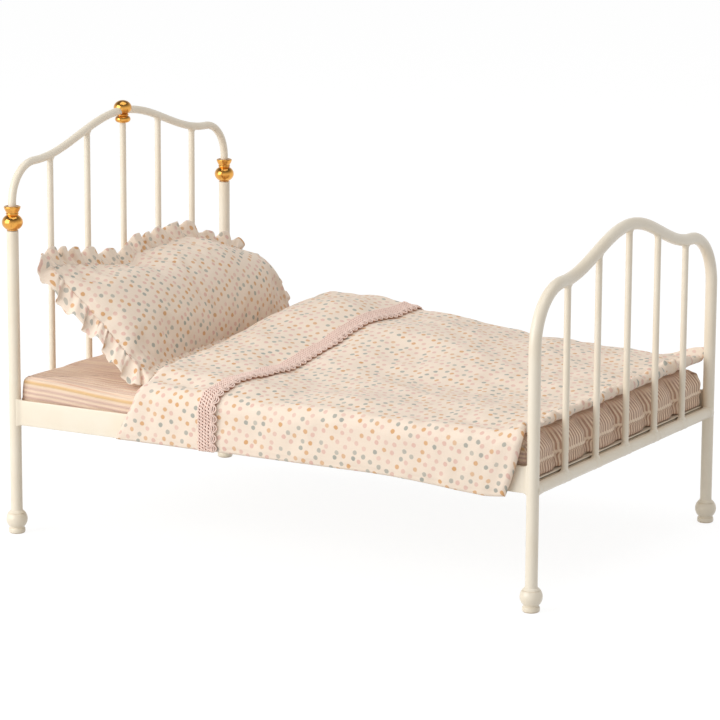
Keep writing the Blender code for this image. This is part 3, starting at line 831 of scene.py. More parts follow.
@dataclass(frozen=True)
class StripedTicking(Finish):
    """Ribbed rose and tan weave with fine cream stripes, banded down the mattress's long sides."""

    rose: Colour = (0.720, 0.450, 0.325)
    tan: Colour = (0.970, 0.735, 0.545)
    # deep colours dark fibres, and also the painted shade on the end faces
    deep: Colour = (0.370, 0.190, 0.120)
    cream: Colour = (0.970, 0.785, 0.600)
    gold: Colour = (0.830, 0.540, 0.250)
    lilac: Colour = (0.740, 0.510, 0.430)
    blush: Colour = (0.830, 0.600, 0.480)
    rib: float = 0.0018
    sway: Cloud = Cloud((60.0, 240.0, 1.0))
    sway_width: float = 0.0005
    streak: Cloud = Cloud((45.0, 1100.0, 1.0), 3.0)
    tan_span: Span = (0.35, 0.65)
    light_ribs: Span = (0.30, 0.68)
    light_streaks: Span = (0.15, 0.55)
    broad: Cloud = Cloud((12.0, 210.0, 1.0), 2.0, (0.45, 0.62))
    blush_tint: float = 0.60
    # Painted shade: the end faces darken towards deep and cream stripes on the ribs.
    end_shade_span: Span = (0.1040, 0.1060)
    end_shade_ribs: Span = (0.38, 0.72)
    end_shade_strength: float = 0.62
    side_start: float = 0.0712
    side_reach: float = 0.0140
    side_span: Span = (0.0, 0.06)
    side_tone: Colour = (0.920, 0.915, 0.910)
    side_blend: float = 0.15
    piping_place: float = 0.1128
    piping_span: Span = (0.0002, 0.0006)
    piping_tint: float = 0.8
    fibre: Cloud = Cloud((1400.0, 3200.0, 1.0))
    fibre_tint: float = 0.10
    fibre_span: Span = (0.2, 0.8)
    fibre_relief: Relief = Relief(0.00006, 0.6)
    rib_relief: Relief = Relief(0.00020, 0.8)
    # Painted shade in the creases.
    crease: Colour = (0.66, 0.42, 0.32)
    creases: Creases = Creases(0.002, (0.1, 0.8))
    crease_tint: float = 0.5
    roughness: float = 0.9
    sheen: float = 0.2
    sheen_roughness: float = 0.5
    gloss: float = 0.15
    slot: str = "striped_ticking"

    def bands(self) -> list[tuple[float, Colour]]:
        """Lists the stripes down a long side.

        Returns:
            (share of the way down, colour) of each stripe.
        """
        # The lilac at 0 is partly a mauve stripe and partly painted shade along the side's top edge.
        return [(0.00, self.lilac), (0.07, self.cream), (0.135, self.gold), (0.160, self.gold),
                (0.215, self.cream), (0.30, self.lilac), (0.36, self.cream), (0.42, self.lilac),
                (0.48, self.cream), (0.55, self.lilac), (0.62, self.cream), (0.72, self.rose),
                (0.82, self.cream), (0.92, self.tan)]

    def lay_out(self, bench: NodeBench) -> Material:
        """Lays out the ribs, their colours, the side bands, the piping of the end hems, and painted shade on
        the end faces and in the creases.

        Args:
            bench: bench of the material.

        Returns:
            The material.
        """
        place = bench.add("UVMap", uv_map=CLOTH_MAP).outputs["UV"]
        split = bench.add("SeparateXYZ", {"Vector": place})
        across = bench.sum("MULTIPLY_ADD", self.sway.lay(bench, place), self.sway_width, split.outputs["Y"])
        wave = bench.sum("SINE", bench.sum("MULTIPLY", across, 2 * math.pi / self.rib))
        rib = bench.sum("MULTIPLY_ADD", wave, 0.5, 0.5)
        along = bench.sum("ABSOLUTE", split.outputs["X"])
        fibre = self.fibre.lay(bench, place)
        colour = self.top_colour(bench, place, rib)
        # painted shade: the end faces are darkened with deep stripes on the ribs
        stripes = bench.mix(bench.step(rib, *self.end_shade_ribs), self.deep, self.cream)
        end_shade = bench.sum("MULTIPLY", bench.step(along, *self.end_shade_span), self.end_shade_strength)
        colour = self.side_colour(bench, split.outputs["Y"], bench.mix(end_shade, colour, stripes))
        off_piping = bench.sum("ABSOLUTE", bench.sum("SUBTRACT", along, self.piping_place))
        piping = bench.sum("MULTIPLY", bench.but(bench.step(off_piping, *self.piping_span)), self.piping_tint)
        colour = bench.mix(piping, colour, self.cream)
        colour = bench.mix(bench.sum("MULTIPLY", fibre, self.fibre_tint), colour, self.deep)
        # painted shade in the creases
        depth = bench.sum("MULTIPLY", bench.but(self.creases.openness(bench)), self.crease_tint)
        colour = bench.mix(depth, colour, self.crease, "MULTIPLY")
        ribbed = bench.sum("MULTIPLY", rib, bench.step(fibre, *self.fibre_span))
        hairs = self.fibre_relief.lay(bench, fibre, self.rib_relief.lay(bench, ribbed))
        return bench.dress(Base_Color=colour, Roughness=self.roughness, Normal=hairs,
                           Sheen_Weight=self.sheen, Sheen_Roughness=self.sheen_roughness,
                           Specular_IOR_Level=self.gloss)

    def top_colour(self, bench: NodeBench, place: Feed, rib: Feed) -> Socket:
        """Lays out the rose, tan and cream of the ribs.

        Args:
            bench: bench of the material.
            place: places on the flat cloth.
            rib: heights of the ribs, from 0 to 1.

        Returns:
            The colour of the mattress's top.
        """
        streak = self.streak.lay(bench, place)
        colour = bench.mix(bench.step(streak, *self.tan_span), self.rose, self.tan)
        on_rib = bench.step(rib, *self.light_ribs)
        light = bench.sum("MULTIPLY", on_rib, bench.step(streak, *self.light_streaks))
        colour = bench.mix(light, colour, self.cream)
        blush = bench.sum("MULTIPLY", self.broad.lay(bench, place), self.blush_tint)
        return bench.mix(blush, colour, self.blush)

    def side_colour(self, bench: NodeBench, across: Feed, colour: Feed) -> Socket:
        """Lays the bands over the long sides.

        Args:
            bench: bench of the material.
            across: places across the flat cloth.
            colour: colour of the rest.

        Returns:
            The colour with the bands.
        """
        down = bench.sum("SUBTRACT", bench.sum("ABSOLUTE", across), self.side_start)
        level = bench.sum("DIVIDE", down, self.side_reach)
        bands = bench.mix(1.0, bench.ramp(level, self.bands(), "EASE"), self.side_tone, "MULTIPLY")
        bands = bench.mix(self.side_blend, bands, colour)
        return bench.mix(bench.step(level, *self.side_span), colour, bands)


@dataclass(frozen=True)
class CrochetYarn(Finish):
    """Soft pink yarn of the crocheted edging."""

    colour: Colour = (0.960, 0.750, 0.650)
    deep: Colour = (0.880, 0.630, 0.525)
    fibre: Cloud = Cloud(5200.0, 3.0)
    fibre_span: Span = (0.3, 0.8)
    fibre_relief: Relief = Relief(0.00008, 0.8)
    pale: Colour = (0.930, 0.760, 0.670)
    cloud: Cloud = Cloud(380.0)
    pale_tint: float = 0.45
    # Painted shade: the holes between the stitches darken to this colour.
    hole: Colour = (0.620, 0.330, 0.255)
    holes: Creases = Creases(0.0009, (0.05, 0.55))
    roughness: float = 0.95
    sheen: float = 0.3
    sheen_roughness: float = 0.5
    gloss: float = 0.1
    slot: str = "pink_crochet"

    def lay_out(self, bench: NodeBench) -> Material:
        """Lays out the yarn's fibres and painted shade in the holes between its stitches.

        Args:
            bench: bench of the material.

        Returns:
            The material.
        """
        place = bench.add("TexCoord").outputs["Object"]
        fibre = self.fibre.lay(bench, place)
        colour = bench.mix(bench.step(fibre, *self.fibre_span), self.colour, self.deep)
        tint = bench.sum("MULTIPLY", self.cloud.lay(bench, place), self.pale_tint)
        colour = bench.mix(tint, colour, self.pale)
        # painted shade in the holes between the stitches
        colour = bench.mix(self.holes.openness(bench), self.hole, colour)
        return bench.dress(Base_Color=colour, Roughness=self.roughness,
                           Normal=self.fibre_relief.lay(bench, fibre), Sheen_Weight=self.sheen,
                           Sheen_Roughness=self.sheen_roughness, Specular_IOR_Level=self.gloss)


ENAMEL = EnamelPaint()
BRASS = PolishedBrass()
COTTON = DottedCotton()
TICKING = StripedTicking()
CROCHET = CrochetYarn()


def add_piece(name: str, shape: Shape, finish: Finish, body: Body, node: str,
              edges: Edges = Edges.SOFT) -> bpy.types.Object:
    """Puts a piece into the scene.

    Args:
        name: name of the piece.
        shape: its mesh in the making, in place.
        finish: what it is finished in.
        body: body that it rides on.
        node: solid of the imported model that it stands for.
        edges: how its edges are shaded.

    Returns:
        The piece.
    """
    mesh = shape.mesh(name)
    mesh.shade_smooth()
    if edges is not Edges.SOFT:
        mesh.set_sharp_from_angle(angle=math.radians(edges.value))
    mesh.materials.append(finish.material())
    piece = bpy.data.objects.new(name, mesh)
    bpy.context.collection.objects.link(piece)
    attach(piece, body.value)
    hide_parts(node)
    LOG.info("%s: %d faces, rides on %s", name, len(mesh.polygons), body.value)
    return piece


@dataclass(frozen=True)
class Hoop:
    """Line of a bent tube that spans one end of the bed.

    Attributes:
        along: where it stands along the bed.
        bottom: height of its ends.
        shoulder: height of its axis where the corner bends end.
        crown: height of its axis at the middle.
        bend: radius of the corner bends.
        diameter: diameter of the tube.
        steps: points on a leg, round a corner bend and over the span.
    """

    along: float
    bottom: float
    shoulder: float
    crown: float
    bend: float
    diameter: float
    steps: tuple[int, int, int] = (16, 22, 84)

    def height(self, across: Any) -> Any:
        """Height of the axis over the span between the corner bends."""
        share = np.asarray(across) / (HALF_WIDTH - self.bend)
        return self.shoulder + (self.crown - self.shoulder) * (0.5 + 0.5 * np.cos(math.pi * share))

    def slope(self, across: float) -> float:
        """Rise of the axis for each metre across the bed."""
        nudge = 0.0005
        return float(self.height(across + nudge) - self.height(across - nudge)) / (2 * nudge)

    def path(self) -> Array:
        """Follows the axis from the near end over the crown to the far end.

        Returns:
            The points of the axis.
        """
        leg_steps, bend_steps, span_steps = self.steps
        span = HALF_WIDTH - self.bend
        low = self.shoulder - self.bend
        leg = [(-HALF_WIDTH, z) for z in np.linspace(self.bottom, low, leg_steps, endpoint=False)]
        turns = np.linspace(0, QUARTER, bend_steps, endpoint=False)
        corner = [(-span - self.bend * math.cos(turn), low + self.bend * math.sin(turn)) for turn in turns]
        arch = [(y, float(self.height(y))) for y in np.linspace(-span, span, span_steps)]
        mirrored = [(-y, z) for y, z in (leg + corner)[::-1]]
        return np.array([(self.along, y, z) for y, z in leg + corner + arch + mirrored])

    def shape(self) -> Shape:
        """The bent tube."""
        return tube(self.path(), self.diameter / 2)


FOOT_BALL = (0.0, 0.00544)
TURNED_FOOT = Turning((
    ((0.0, 0.0125), (0.0015, 0.0125), (0.0015, 0.0095), (0.00222, 0.0094)),   # spigot in the leg
    Round(FOOT_BALL, 0.0040, 56.0, 37.0, 5),
    ((0.00308, 0.00772), (0.00312, 0.00766), (0.00330, 0.00765)),             # line cut into the ball
    Round(FOOT_BALL, 0.0040, 32.0, -46.0, 20),
    ((0.00268, 0.00242), (0.00272, 0.00226)),                                 # neck
    Round((0.00235, 0.00150), 0.00075, 62.0, 0.0, 6),
    Round((0.00235, 0.00075), 0.00075, 0.0, -90.0, 7),
    ((0.0, 0.0),),
))
BRASS_COLLAR = Turning((
    ((0.0015, 0.00860), (0.0024, 0.00872), (0.0027, 0.00892)),                # ring round the hoop
    Round((0.00272, 0.00852), 0.00040, 80.0, -20.0, 7),
    ((0.00298, 0.00800), (0.00280, 0.00752), (0.00250, 0.00700), (0.00224, 0.00655)),
    Round((0.00206, 0.00612), 0.00034, 60.0, -60.0, 6),
    ((0.00222, 0.00562),),
    Round((0.0, 0.00290), 0.0039, 56.0, -56.0, 26, 0.82),
    ((0.0021, 0.0), (0.0015, 0.0)),
))
BRASS_FINIAL = Turning((
    Round((0.0, 0.00575), 0.0035, 89.0, -54.0, 30, 0.82),
    ((0.00200, 0.00326),),
    Round((0.00196, 0.00302), 0.00030, 50.0, -50.0, 6),                       # neck bead
    ((0.00205, 0.00272),),
    Round((0.0017, 0.00130), 0.0013, 70.0, -90.0, 14),
    ((0.0, 0.0),),
))


@dataclass(frozen=True)
class Bedstead:
    """Welded tube frame: both boards, the rails, the base panel, the feet and the brass beads."""

    head: Hoop = Hoop(along=-HALF_LENGTH, bottom=0.1022, shoulder=0.1386, crown=0.1510, bend=0.0140,
                      diameter=0.0030)
    foot: Hoop = Hoop(along=HALF_LENGTH, bottom=LEG_BOTTOM, shoulder=0.1118, crown=0.1244, bend=0.0200,
                      diameter=POST_DIAMETER)
    post_top: float = 0.1142
    post_steps: int = 24
    finial_bottom: float = 0.14628
    crossbar_diameter: float = 0.0042
    crossbar_steps: int = 361
    crossbar_sides: int = 32
    weld_height: float = 0.00013
    weld_reach: float = 0.0019
    weld_width: float = 0.0005
    end_flare: float = 0.0004
    end_fillet: float = 0.0012
    sleeve_height: float = 0.00016
    sleeve_place: float = 0.0021
    sleeve_width: float = 0.00035
    spindle_fillet: float = 0.0011
    spindle_tilt_run: float = 0.003
    low_flare_depth: float = 0.30
    top_flare_depth: float = 0.22
    rail_low: float = 0.0415
    rail_high: float = 0.0510
    rail_gauge: float = 0.0010
    rail_fillet: float = 0.0012
    rail_flare_high: float = 0.45
    rail_flare_out: float = 0.0007
    rail_flare_in: float = 0.0006
    rail_edge: float = 0.0004
    rail_steps: int = 90
    rail_edge_points: int = 6
    ledge_width: float = 0.0080
    panel_size: Span = (0.1030, 0.0710)
    panel_top: float = 0.0461
    panel_gauge: float = 0.0010
    panel_bevel: float = 0.0003
    bevel_segments: int = 3
    rim_half: float = 0.0700
    rim_out: float = 0.1057
    rim: Triple = (0.1052, 0.0440, 0.0453)       # inner side, bottom and top
    rim_step: Triple = (0.1024, 0.0444, 0.0452)

    def add(self, node: str, form: str, shape: Shape, finish: Finish = ENAMEL,
            edges: Edges = Edges.CRISP) -> bpy.types.Object:
        """Adds a piece of the frame, named for its solid and its form."""
        return add_piece(f"{node}_{form}", shape, finish, Body.FRAME, node, edges)

    def build(self) -> None:
        """Builds every piece of the frame."""
        self.add("head_hoop", "tube", self.head.shape())
        self.add("foot_hoop", "tube", self.foot.shape())
        for side in Side:
            self.build_corner(side)
            self.build_rail(side)
        for end, hoop in (("head", self.head), ("foot", self.foot)):
            self.build_crossbar(end, hoop)
            for number, across in enumerate(SPINDLE_PLACES, 1):
                self.build_spindle(f"{end}_spindle_{number}", hoop, across)
        self.add("head_finial", "bead", BRASS_FINIAL.shape((-HALF_LENGTH, 0.0, self.finial_bottom)), BRASS)
        self.build_panel()

    def build_corner(self, side: Side) -> None:
        """Builds a long side's head post, its collar and both of its feet.

        Args:
            side: the long side.
        """
        word = side.name.lower()
        across = side.value * HALF_WIDTH
        heights = np.linspace(LEG_BOTTOM, self.post_top, self.post_steps)
        self.add(f"head_post_{word}", "tube", tube([(-HALF_LENGTH, across, z) for z in heights],
                                                   POST_DIAMETER / 2))
        collar = BRASS_COLLAR.shape((-HALF_LENGTH, across, self.post_top + CLEARANCE))
        self.add(f"head_collar_{word}", "bead", collar, BRASS)
        for end, along in (("head", -HALF_LENGTH), ("foot", HALF_LENGTH)):
            self.add(f"{end}_foot_{word}", "bead", TURNED_FOOT.shape((along, across, 0.0)))

    def build_crossbar(self, end: str, hoop: Hoop) -> None:
        """Builds a crossbar with a weld bead at each spindle and a sleeve at each post.

        Args:
            end: end of the bed.
            hoop: hoop that stands over the bar.
        """
        across = np.linspace(-HALF_WIDTH, HALF_WIDTH, self.crossbar_steps)
        radius = np.full(across.shape, self.crossbar_diameter / 2)
        for place in SPINDLE_PLACES:
            radius += self.weld_height * ridge(np.abs(across - place) - self.weld_reach, self.weld_width)
        from_post = HALF_WIDTH - POST_DIAMETER / 2 - np.abs(across)
        radius += self.end_flare * (1 - rounded(from_post, self.end_fillet))
        radius += self.sleeve_height * ridge(from_post - self.sleeve_place, self.sleeve_width)
        path = [(hoop.along, y, CROSSBAR_HEIGHT) for y in across]
        self.add(f"{end}_crossbar", "tube", tube(path, radius, self.crossbar_sides), edges=Edges.SOFT)

    def build_spindle(self, node: str, hoop: Hoop, across: float) -> None:
        """Builds a spindle that flares into the hoop above and the crossbar below.

        Args:
            node: the solid that it stands for.
            hoop: hoop that it reaches.
            across: where it stands across the bed.
        """
        end_share, middle_start, end_steps, middle_steps, sides = 0.06, 0.07, 16, 24, 28
        in_finial = hoop is self.head and across == 0.0
        low, high = CROSSBAR_HEIGHT, float(hoop.height(across))
        if in_finial:
            high = self.finial_bottom + self.spindle_fillet
        top_face = high - hoop.diameter / 2
        low_face = low + self.crossbar_diameter / 2
        ends = np.linspace(0, end_share, end_steps)
        middle = np.linspace(middle_start, 1 - middle_start, middle_steps)
        shares = np.concatenate([ends, middle, 1 - ends[::-1]])
        heights = low + (high - low) * shares
        flare_low = self.spindle_fillet * (1 - rounded(heights - low_face, self.spindle_fillet))
        flare_top = self.spindle_fillet * (1 - rounded(top_face - heights, self.spindle_fillet))
        if in_finial:
            flare_top = np.zeros(heights.shape)
        wide = SPINDLE_DIAMETER / 2 + flare_low + flare_top
        deep = SPINDLE_DIAMETER / 2 + self.low_flare_depth * flare_low + self.top_flare_depth * flare_top
        tilt = hoop.slope(across) * ease((heights - top_face) / self.spindle_tilt_run + 1)
        turns = full_turn(sides)
        x = hoop.along + deep[:, None] * np.cos(turns)
        y = across + wide[:, None] * np.sin(turns)
        z = heights[:, None] + tilt[:, None] * (y - across)
        self.add(node, "bar", loft(np.stack([x, y, z], axis=2)), edges=Edges.SOFT)

    def build_rail(self, side: Side) -> None:
        """Builds a side rail whose ends flare onto the posts, with the ledge that carries the panel.

        Args:
            side: the long side.
        """
        reach = HALF_LENGTH - POST_DIAMETER / 2
        along = HALF_LENGTH * np.sin(np.linspace(-QUARTER, QUARTER, self.rail_steps))
        flare = 1 - rounded(reach - np.abs(along), self.rail_fillet)
        middle = (self.rail_low + self.rail_high) / 2
        half_high = (self.rail_high - self.rail_low) / 2 + self.rail_fillet * self.rail_flare_high * flare
        outer = HALF_WIDTH + self.rail_gauge + self.rail_flare_out * flare - self.rail_edge
        inner = HALF_WIDTH - self.rail_flare_in * flare + self.rail_edge
        ring = []
        for start, side_y, sign_z in ((0, outer, 1), (1, inner, 1), (2, inner, -1), (3, outer, -1)):
            for turn in np.linspace(start * QUARTER, (start + 1) * QUARTER, self.rail_edge_points):
                y = side.value * (side_y + self.rail_edge * math.cos(turn))
                z = middle + sign_z * (half_high - self.rail_edge) + self.rail_edge * math.sin(turn)
                ring.append(np.stack([along, y, z], axis=1))
        ledge_top = CROSSBAR_HEIGHT + self.crossbar_diameter / 2
        ledge_y = sorted(side.value * y for y in (HALF_WIDTH + self.rail_edge, HALF_WIDTH - self.ledge_width))
        ledge = slab((-reach, ledge_y[0], ledge_top - self.rail_gauge), (reach, ledge_y[1], ledge_top))
        word = side.name.lower()
        self.add(f"rail_{word}", "bar", Shape.joined([loft(np.stack(ring, axis=1)), ledge]))

    def build_panel(self) -> None:
        """Builds the base panel, with a stepped rim along the inside of each crossbar."""
        half_x, half_y = self.panel_size
        bottom = self.panel_top - self.panel_gauge
        slabs = [slab((-half_x, -half_y, bottom), (half_x, half_y, self.panel_top))]
        for sign in (-1, 1):
            for inside, low, high in (self.rim, self.rim_step):
                low_x, high_x = sorted((sign * inside, sign * self.rim_out))
                slabs.append(slab((low_x, -self.rim_half, low), (high_x, self.rim_half, high)))
        panel = self.add("base_panel", "tray", Shape.joined(slabs))
        bevel = panel.modifiers.new("soft_edges", "BEVEL")
        bevel.width = self.panel_bevel
        bevel.segments = self.bevel_segments


@dataclass(frozen=True)
class Mattress:
    """Stuffed pad in ribbed ticking, drawn in at the foot end where the spindles press on it."""

    head_end: float = -0.1060
    foot_end: float = 0.1050
    half_width: float = 0.0725
    bottom: float = 0.0464
    edge: float = 0.0026
    corner: float = 0.0017
    crown: float = 0.0012
    crown_power: float = 6.0
    crown_flat: float = 0.3
    crown_share: float = 0.9
    top_seat: float = 0.0002
    top_bumps: Ripples = Ripples(0.00018, 0.016, 8)
    bump_run: float = 0.1
    side_ripples: Ripples = Ripples(0.00022, 0.013, 5)
    wall_bulge: float = 0.0002
    pinch_depth: float = 0.0025
    pinch_width: float = 0.0034
    pinch_low: float = 0.35
    pinch_drop: float = 0.5
    pull_from: float = 0.8
    head_pinch: float = 0.0007
    hem_height: float = 0.0042
    hem_swell: float = 0.00070
    hem_width: float = 0.0005
    dip_below: float = 0.0016
    dip_depth: float = 0.00035
    dip_width: float = 0.0009
    foot_roll: float = 0.0022
    roll_from: float = 0.45
    foot_drop: float = 0.0016
    foot_run: float = 0.0085
    shoulder_in: float = 0.0010
    shoulder_run: float = 0.0085
    near_sag: float = 0.0026
    sag_width: float = 0.0160
    sag_head: Rise = Rise(-0.1014, 0.048)
    sag_foot: Rise = Rise(0.080, -0.050)
    sag_above: float = 0.0046
    under_inset: float = 0.0018
    under_tuck: float = 0.0005
    rim_sag: float = 0.0010
    rim_start: float = 0.1032
    rim_run: float = 0.0010
    rim_height: float = 0.0045
    fill: float = 0.8

    @property
    def middle(self) -> float:
        """Middle of the mattress along the bed."""
        return (self.head_end + self.foot_end) / 2

    @property
    def half_length(self) -> float:
        """Half of its length."""
        return (self.foot_end - self.head_end) / 2

    def rise(self, x: Any, y: Any) -> Array:
        """Crown of its top above its edge.

        Args:
            x: places along the bed.
            y: places across it.

        Returns:
            The rise at each place.
        """
        along = np.abs(x - self.middle) / (self.half_length - self.edge)
        across = np.abs(y) / (self.half_width - self.edge)
        reach = (along ** self.crown_power + across ** self.crown_power) ** (1 / self.crown_power)
        return self.crown * np.maximum(1 - np.maximum(reach, self.crown_flat) ** 2, 0.0)

    def outline(self) -> tuple[Array, Array]:
        """Goes round the mattress from the near foot corner.

        Returns:
            The points, laid about its middle, and their outward directions.
        """
        counts = {0: 200, 90: 150, 180: 120, 270: 150}      # points on the side that faces each way
        corner_count = 10
        half = np.array((self.half_length, self.half_width)) - self.corner
        spots, outs = [], []
        for facing, count in counts.items():
            out = np.array((round(math.cos(math.radians(facing))), round(math.sin(math.radians(facing)))))
            way = np.array((-out[1], out[0]))
            start = out * half - way * half
            for k in range(count):
                spots.append(start + way * 2 * (abs(way) @ half) * k / count + out * self.corner)
                outs.append(out)
            centre = out * half + way * half
            for k in range(corner_count):
                turn = math.radians(facing + 90 * k / corner_count)
                aim = np.array((math.cos(turn), math.sin(turn)))
                spots.append(centre + aim * self.corner)
                outs.append(aim)
        return np.array(spots), np.array(outs)

    def profile(self) -> list[Triple]:
        """Goes up the side from the bottom to the top.

        Returns:
            (inset, height, way down from the top's edge) of each ring.
        """
        turn_rows, wall_rows = 7, 22
        turns = np.linspace(0, QUARTER, turn_rows)
        wall = MATTRESS_TOP - self.bottom - 2 * self.edge
        quarter = QUARTER * self.edge
        rows = [(self.under_inset, self.bottom, 2 * quarter + wall + self.under_inset)]
        rows += [(self.under_tuck * (1 - math.sin(turn)), self.bottom + self.edge * (1 - math.cos(turn)),
                  2 * quarter + wall - self.edge * turn) for turn in turns]
        for share in np.linspace(0, 1, wall_rows)[1:-1]:
            bulge = self.wall_bulge * math.sin(math.pi * share)
            rows.append((-bulge, self.bottom + self.edge + wall * share, quarter + wall * (1 - share)))
        rows += [(self.edge * (1 - math.cos(turn)), MATTRESS_TOP - self.edge * (1 - math.sin(turn)),
                  quarter - self.edge * turn) for turn in turns]
        return rows

    def drawn_in(self, press: float, roll: float, outs: Array, pinch: Array) -> Array:
        """How far a ring's points are drawn back from the foot, and in by the head's spindles."""
        foot, head = np.maximum(outs[:, 0], 0.0), np.maximum(-outs[:, 0], 0.0)
        return (press * pinch + roll) * foot - self.head_pinch * pinch * head

    def side_ring(self, spots: Array, outs: Array, pinch: Array, inset: float, height: float) -> Array:
        """A ring of the side, with its hem at the ends.

        Args:
            spots: points round the mattress.
            outs: their outward directions.
            pinch: how hard a spindle presses on each of them.
            inset: how far in the ring lies.
            height: its height.

        Returns:
            The points of the ring.
        """
        end_power = 4
        lift = height - self.bottom
        share = lift / (MATTRESS_TOP - self.bottom)
        hem = self.hem_swell * ridge(lift - self.hem_height, self.hem_width)
        hem = hem - self.dip_depth * ridge(lift - self.hem_height + self.dip_below, self.dip_width)
        ripple = self.side_ripples.at(spots[:, 0] + spots[:, 1], np.full(len(spots), lift))
        out = hem * np.abs(outs[:, 0]) ** end_power + ripple - inset
        place = spots + outs * out[:, None]
        roll = self.foot_roll * ease((share - self.roll_from) / (1 - self.roll_from)) ** 2
        press = self.pinch_depth * (self.pinch_low + (1 - self.pinch_low) * ease(2 * share))
        x = self.middle + place[:, 0] - self.drawn_in(press, roll, outs, pinch)
        return np.column_stack([x, place[:, 1], np.full(len(spots), height)])

    def top_ring(self, inner: Array, outs: Array, pinch: Array, scale: float) -> Array:
        """A ring of the crowned top.

        Args:
            inner: points of the ring, laid about the mattress's middle.
            outs: outward directions of the side next to them.
            pinch: how hard a spindle presses there.
            scale: size of the ring over that of the top.

        Returns:
            The points of the ring.
        """
        x, y = self.middle + inner[:, 0], inner[:, 1]
        bumps = self.top_bumps.at(x, y) * ease((1 - scale) / self.bump_run)
        by_side = ease((scale - self.pull_from) / (1 - self.pull_from))
        pull = self.drawn_in(self.pinch_depth, self.foot_roll, outs, pinch) * by_side
        z = MATTRESS_TOP + self.rise(x, y) * self.crown_share + bumps - self.top_seat
        return np.column_stack([x - pull, y, z])

    def shape(self) -> Shape:
        """Wraps the cloth over the top and down over all four sides.

        Returns:
            The mattress as one closed skin.
        """
        top_scales = np.concatenate([[0.985, 0.96], np.linspace(0.92, 0.02, 30)])
        spots, outs = self.outline()
        border = spots - outs * self.edge
        pinch = sum(ridge(spots[:, 1] - place, self.pinch_width) for place in SPINDLE_PLACES)
        rings, ends, sides = [], [], []
        for inset, height, down in self.profile():
            rings.append(self.side_ring(spots, outs, pinch, inset, height))
            ends.append(border + np.sign(outs) * (down, 0.0))
            sides.append(border + np.sign(outs) * (0.0, down))
        for scale in top_scales:
            rings.append(self.top_ring(border * scale, outs, pinch, scale))
            ends.append(border * scale)
            sides.append(border * scale)
        wrapped = [np.concatenate([np.array(rows), np.array(rows)[:, :1]], axis=1) for rows in (ends, sides)]
        shape = loft(self.settled(np.array(rings), pinch), wrapped[0])
        facing = np.abs(outs[:, 0]) > np.abs(outs[:, 1])
        facing = np.tile(facing & np.roll(facing, -1), len(rings) - 1)
        by_end, by_side = (corners_of(rows) for rows in wrapped)
        shape.cloth[:len(facing) * 4] = np.where(facing[:, None, None], by_end, by_side).reshape(-1, 2)
        return shape

    def settled(self, rings: Array, pinch: Array) -> Array:
        """Lowers the foot end's top edge, the near edge under the duvet and the foot end's bottom.

        Args:
            rings: points of the skin, ring by ring.
            pinch: how hard a spindle presses on each point round a ring.

        Returns:
            The settled points.
        """
        x, y, z = rings[..., 0], rings[..., 1], rings[..., 2]
        by_foot = ease(1 - (self.foot_end - x) / self.foot_run)
        upper = ease((z - MATTRESS_TOP) / self.foot_run + 1)
        z -= self.foot_drop * (1 + self.pinch_drop * pinch) * by_foot * upper
        by_near = ease(1 - (y + self.half_width) / self.sag_width)
        under_duvet = self.sag_head.at(x) * self.sag_foot.at(x)
        above_rail = np.clip((z - self.bottom) / self.sag_above, 0.0, 1.0)
        z -= self.near_sag * by_near * under_duvet * above_rail
        past_panel = ease((x - self.rim_start) / self.rim_run)
        near_bottom = ease(1 - (z - self.bottom) / self.rim_height)
        z -= self.rim_sag * past_panel * near_bottom
        by_head = ease(1 - (x - self.head_end) / self.shoulder_run)
        y *= 1 - self.shoulder_in / self.half_width * by_head
        return rings

    def build(self) -> None:
        """Builds and dresses the mattress."""
        piece = add_piece("mattress_pad", self.shape(), TICKING, Body.MATTRESS, "mattress")


@dataclass(frozen=True)
class Stuffing:
    """Fills a sewn cover by cloth simulation.

    It is simulated some times larger, where the solver is steady. The cloth is longer than the
    cover's first shape by a spare share, and the most that a point may move is given in metres.
    """

    pressure: float
    spare: float
    most: float
    frames: int = 22
    scale: float = 10.0
    quality: int = 6
    mass: float = 0.3
    stretch: float = 12.0
    shear: float = 4.0
    bending: float = 0.35
    damping: float = 3.0

    def set_up(self, cover: bpy.types.Object, held: str) -> None:
        """Gives a cover its cloth.

        Args:
            cover: the cover.
            held: its group of points that stay in place.
        """
        cloth = cover.modifiers.new("cloth", "CLOTH")
        cloth.settings.quality = self.quality
        cloth.settings.mass = self.mass
        cloth.settings.tension_stiffness = self.stretch
        cloth.settings.compression_stiffness = self.stretch
        cloth.settings.shear_stiffness = self.shear
        cloth.settings.bending_stiffness = self.bending
        cloth.settings.air_damping = self.damping
        cloth.settings.vertex_group_mass = held
        cloth.settings.use_pressure = True
        cloth.settings.uniform_pressure_force = self.pressure
        cloth.settings.shrink_min = -self.spare
        cloth.settings.effector_weights.gravity = 0
        cloth.collision_settings.use_collision = False
        cloth.point_cache.frame_end = self.frames

    def fill(self, shape: Shape, border: Array) -> Array:
        """Lets the stuffing push the cover out.

        Args:
            shape: the cover.
            border: numbers of the points on its seam, which stay in place.

        Returns:
            The points of the filled cover.
        """
        mesh = Shape(shape.points * self.scale, shape.faces).mesh("cover")
        cover = bpy.data.objects.new("cover", mesh)
        bpy.context.collection.objects.link(cover)
        group = cover.vertex_groups.new(name="held")
        group.add([int(number) for number in border], 1.0, "REPLACE")
        self.set_up(cover, group.name)
        scene = bpy.context.scene
        for step in range(1, self.frames + 1):
            scene.frame_set(step)
        graph = bpy.context.evaluated_depsgraph_get()
        filled = np.zeros(len(shape.points) * 3)
        cover.evaluated_get(graph).data.vertices.foreach_get("co", filled)
        bpy.data.objects.remove(cover, do_unlink=True)
        bpy.data.meshes.remove(mesh)
        scene.frame_set(1)
        tiny = 1e-9
        move = filled.reshape(-1, 3) / self.scale - shape.points
        length = np.linalg.norm(move, axis=1, keepdims=True) + tiny
        return shape.points + move * (self.most * np.tanh(length / self.most) / length)


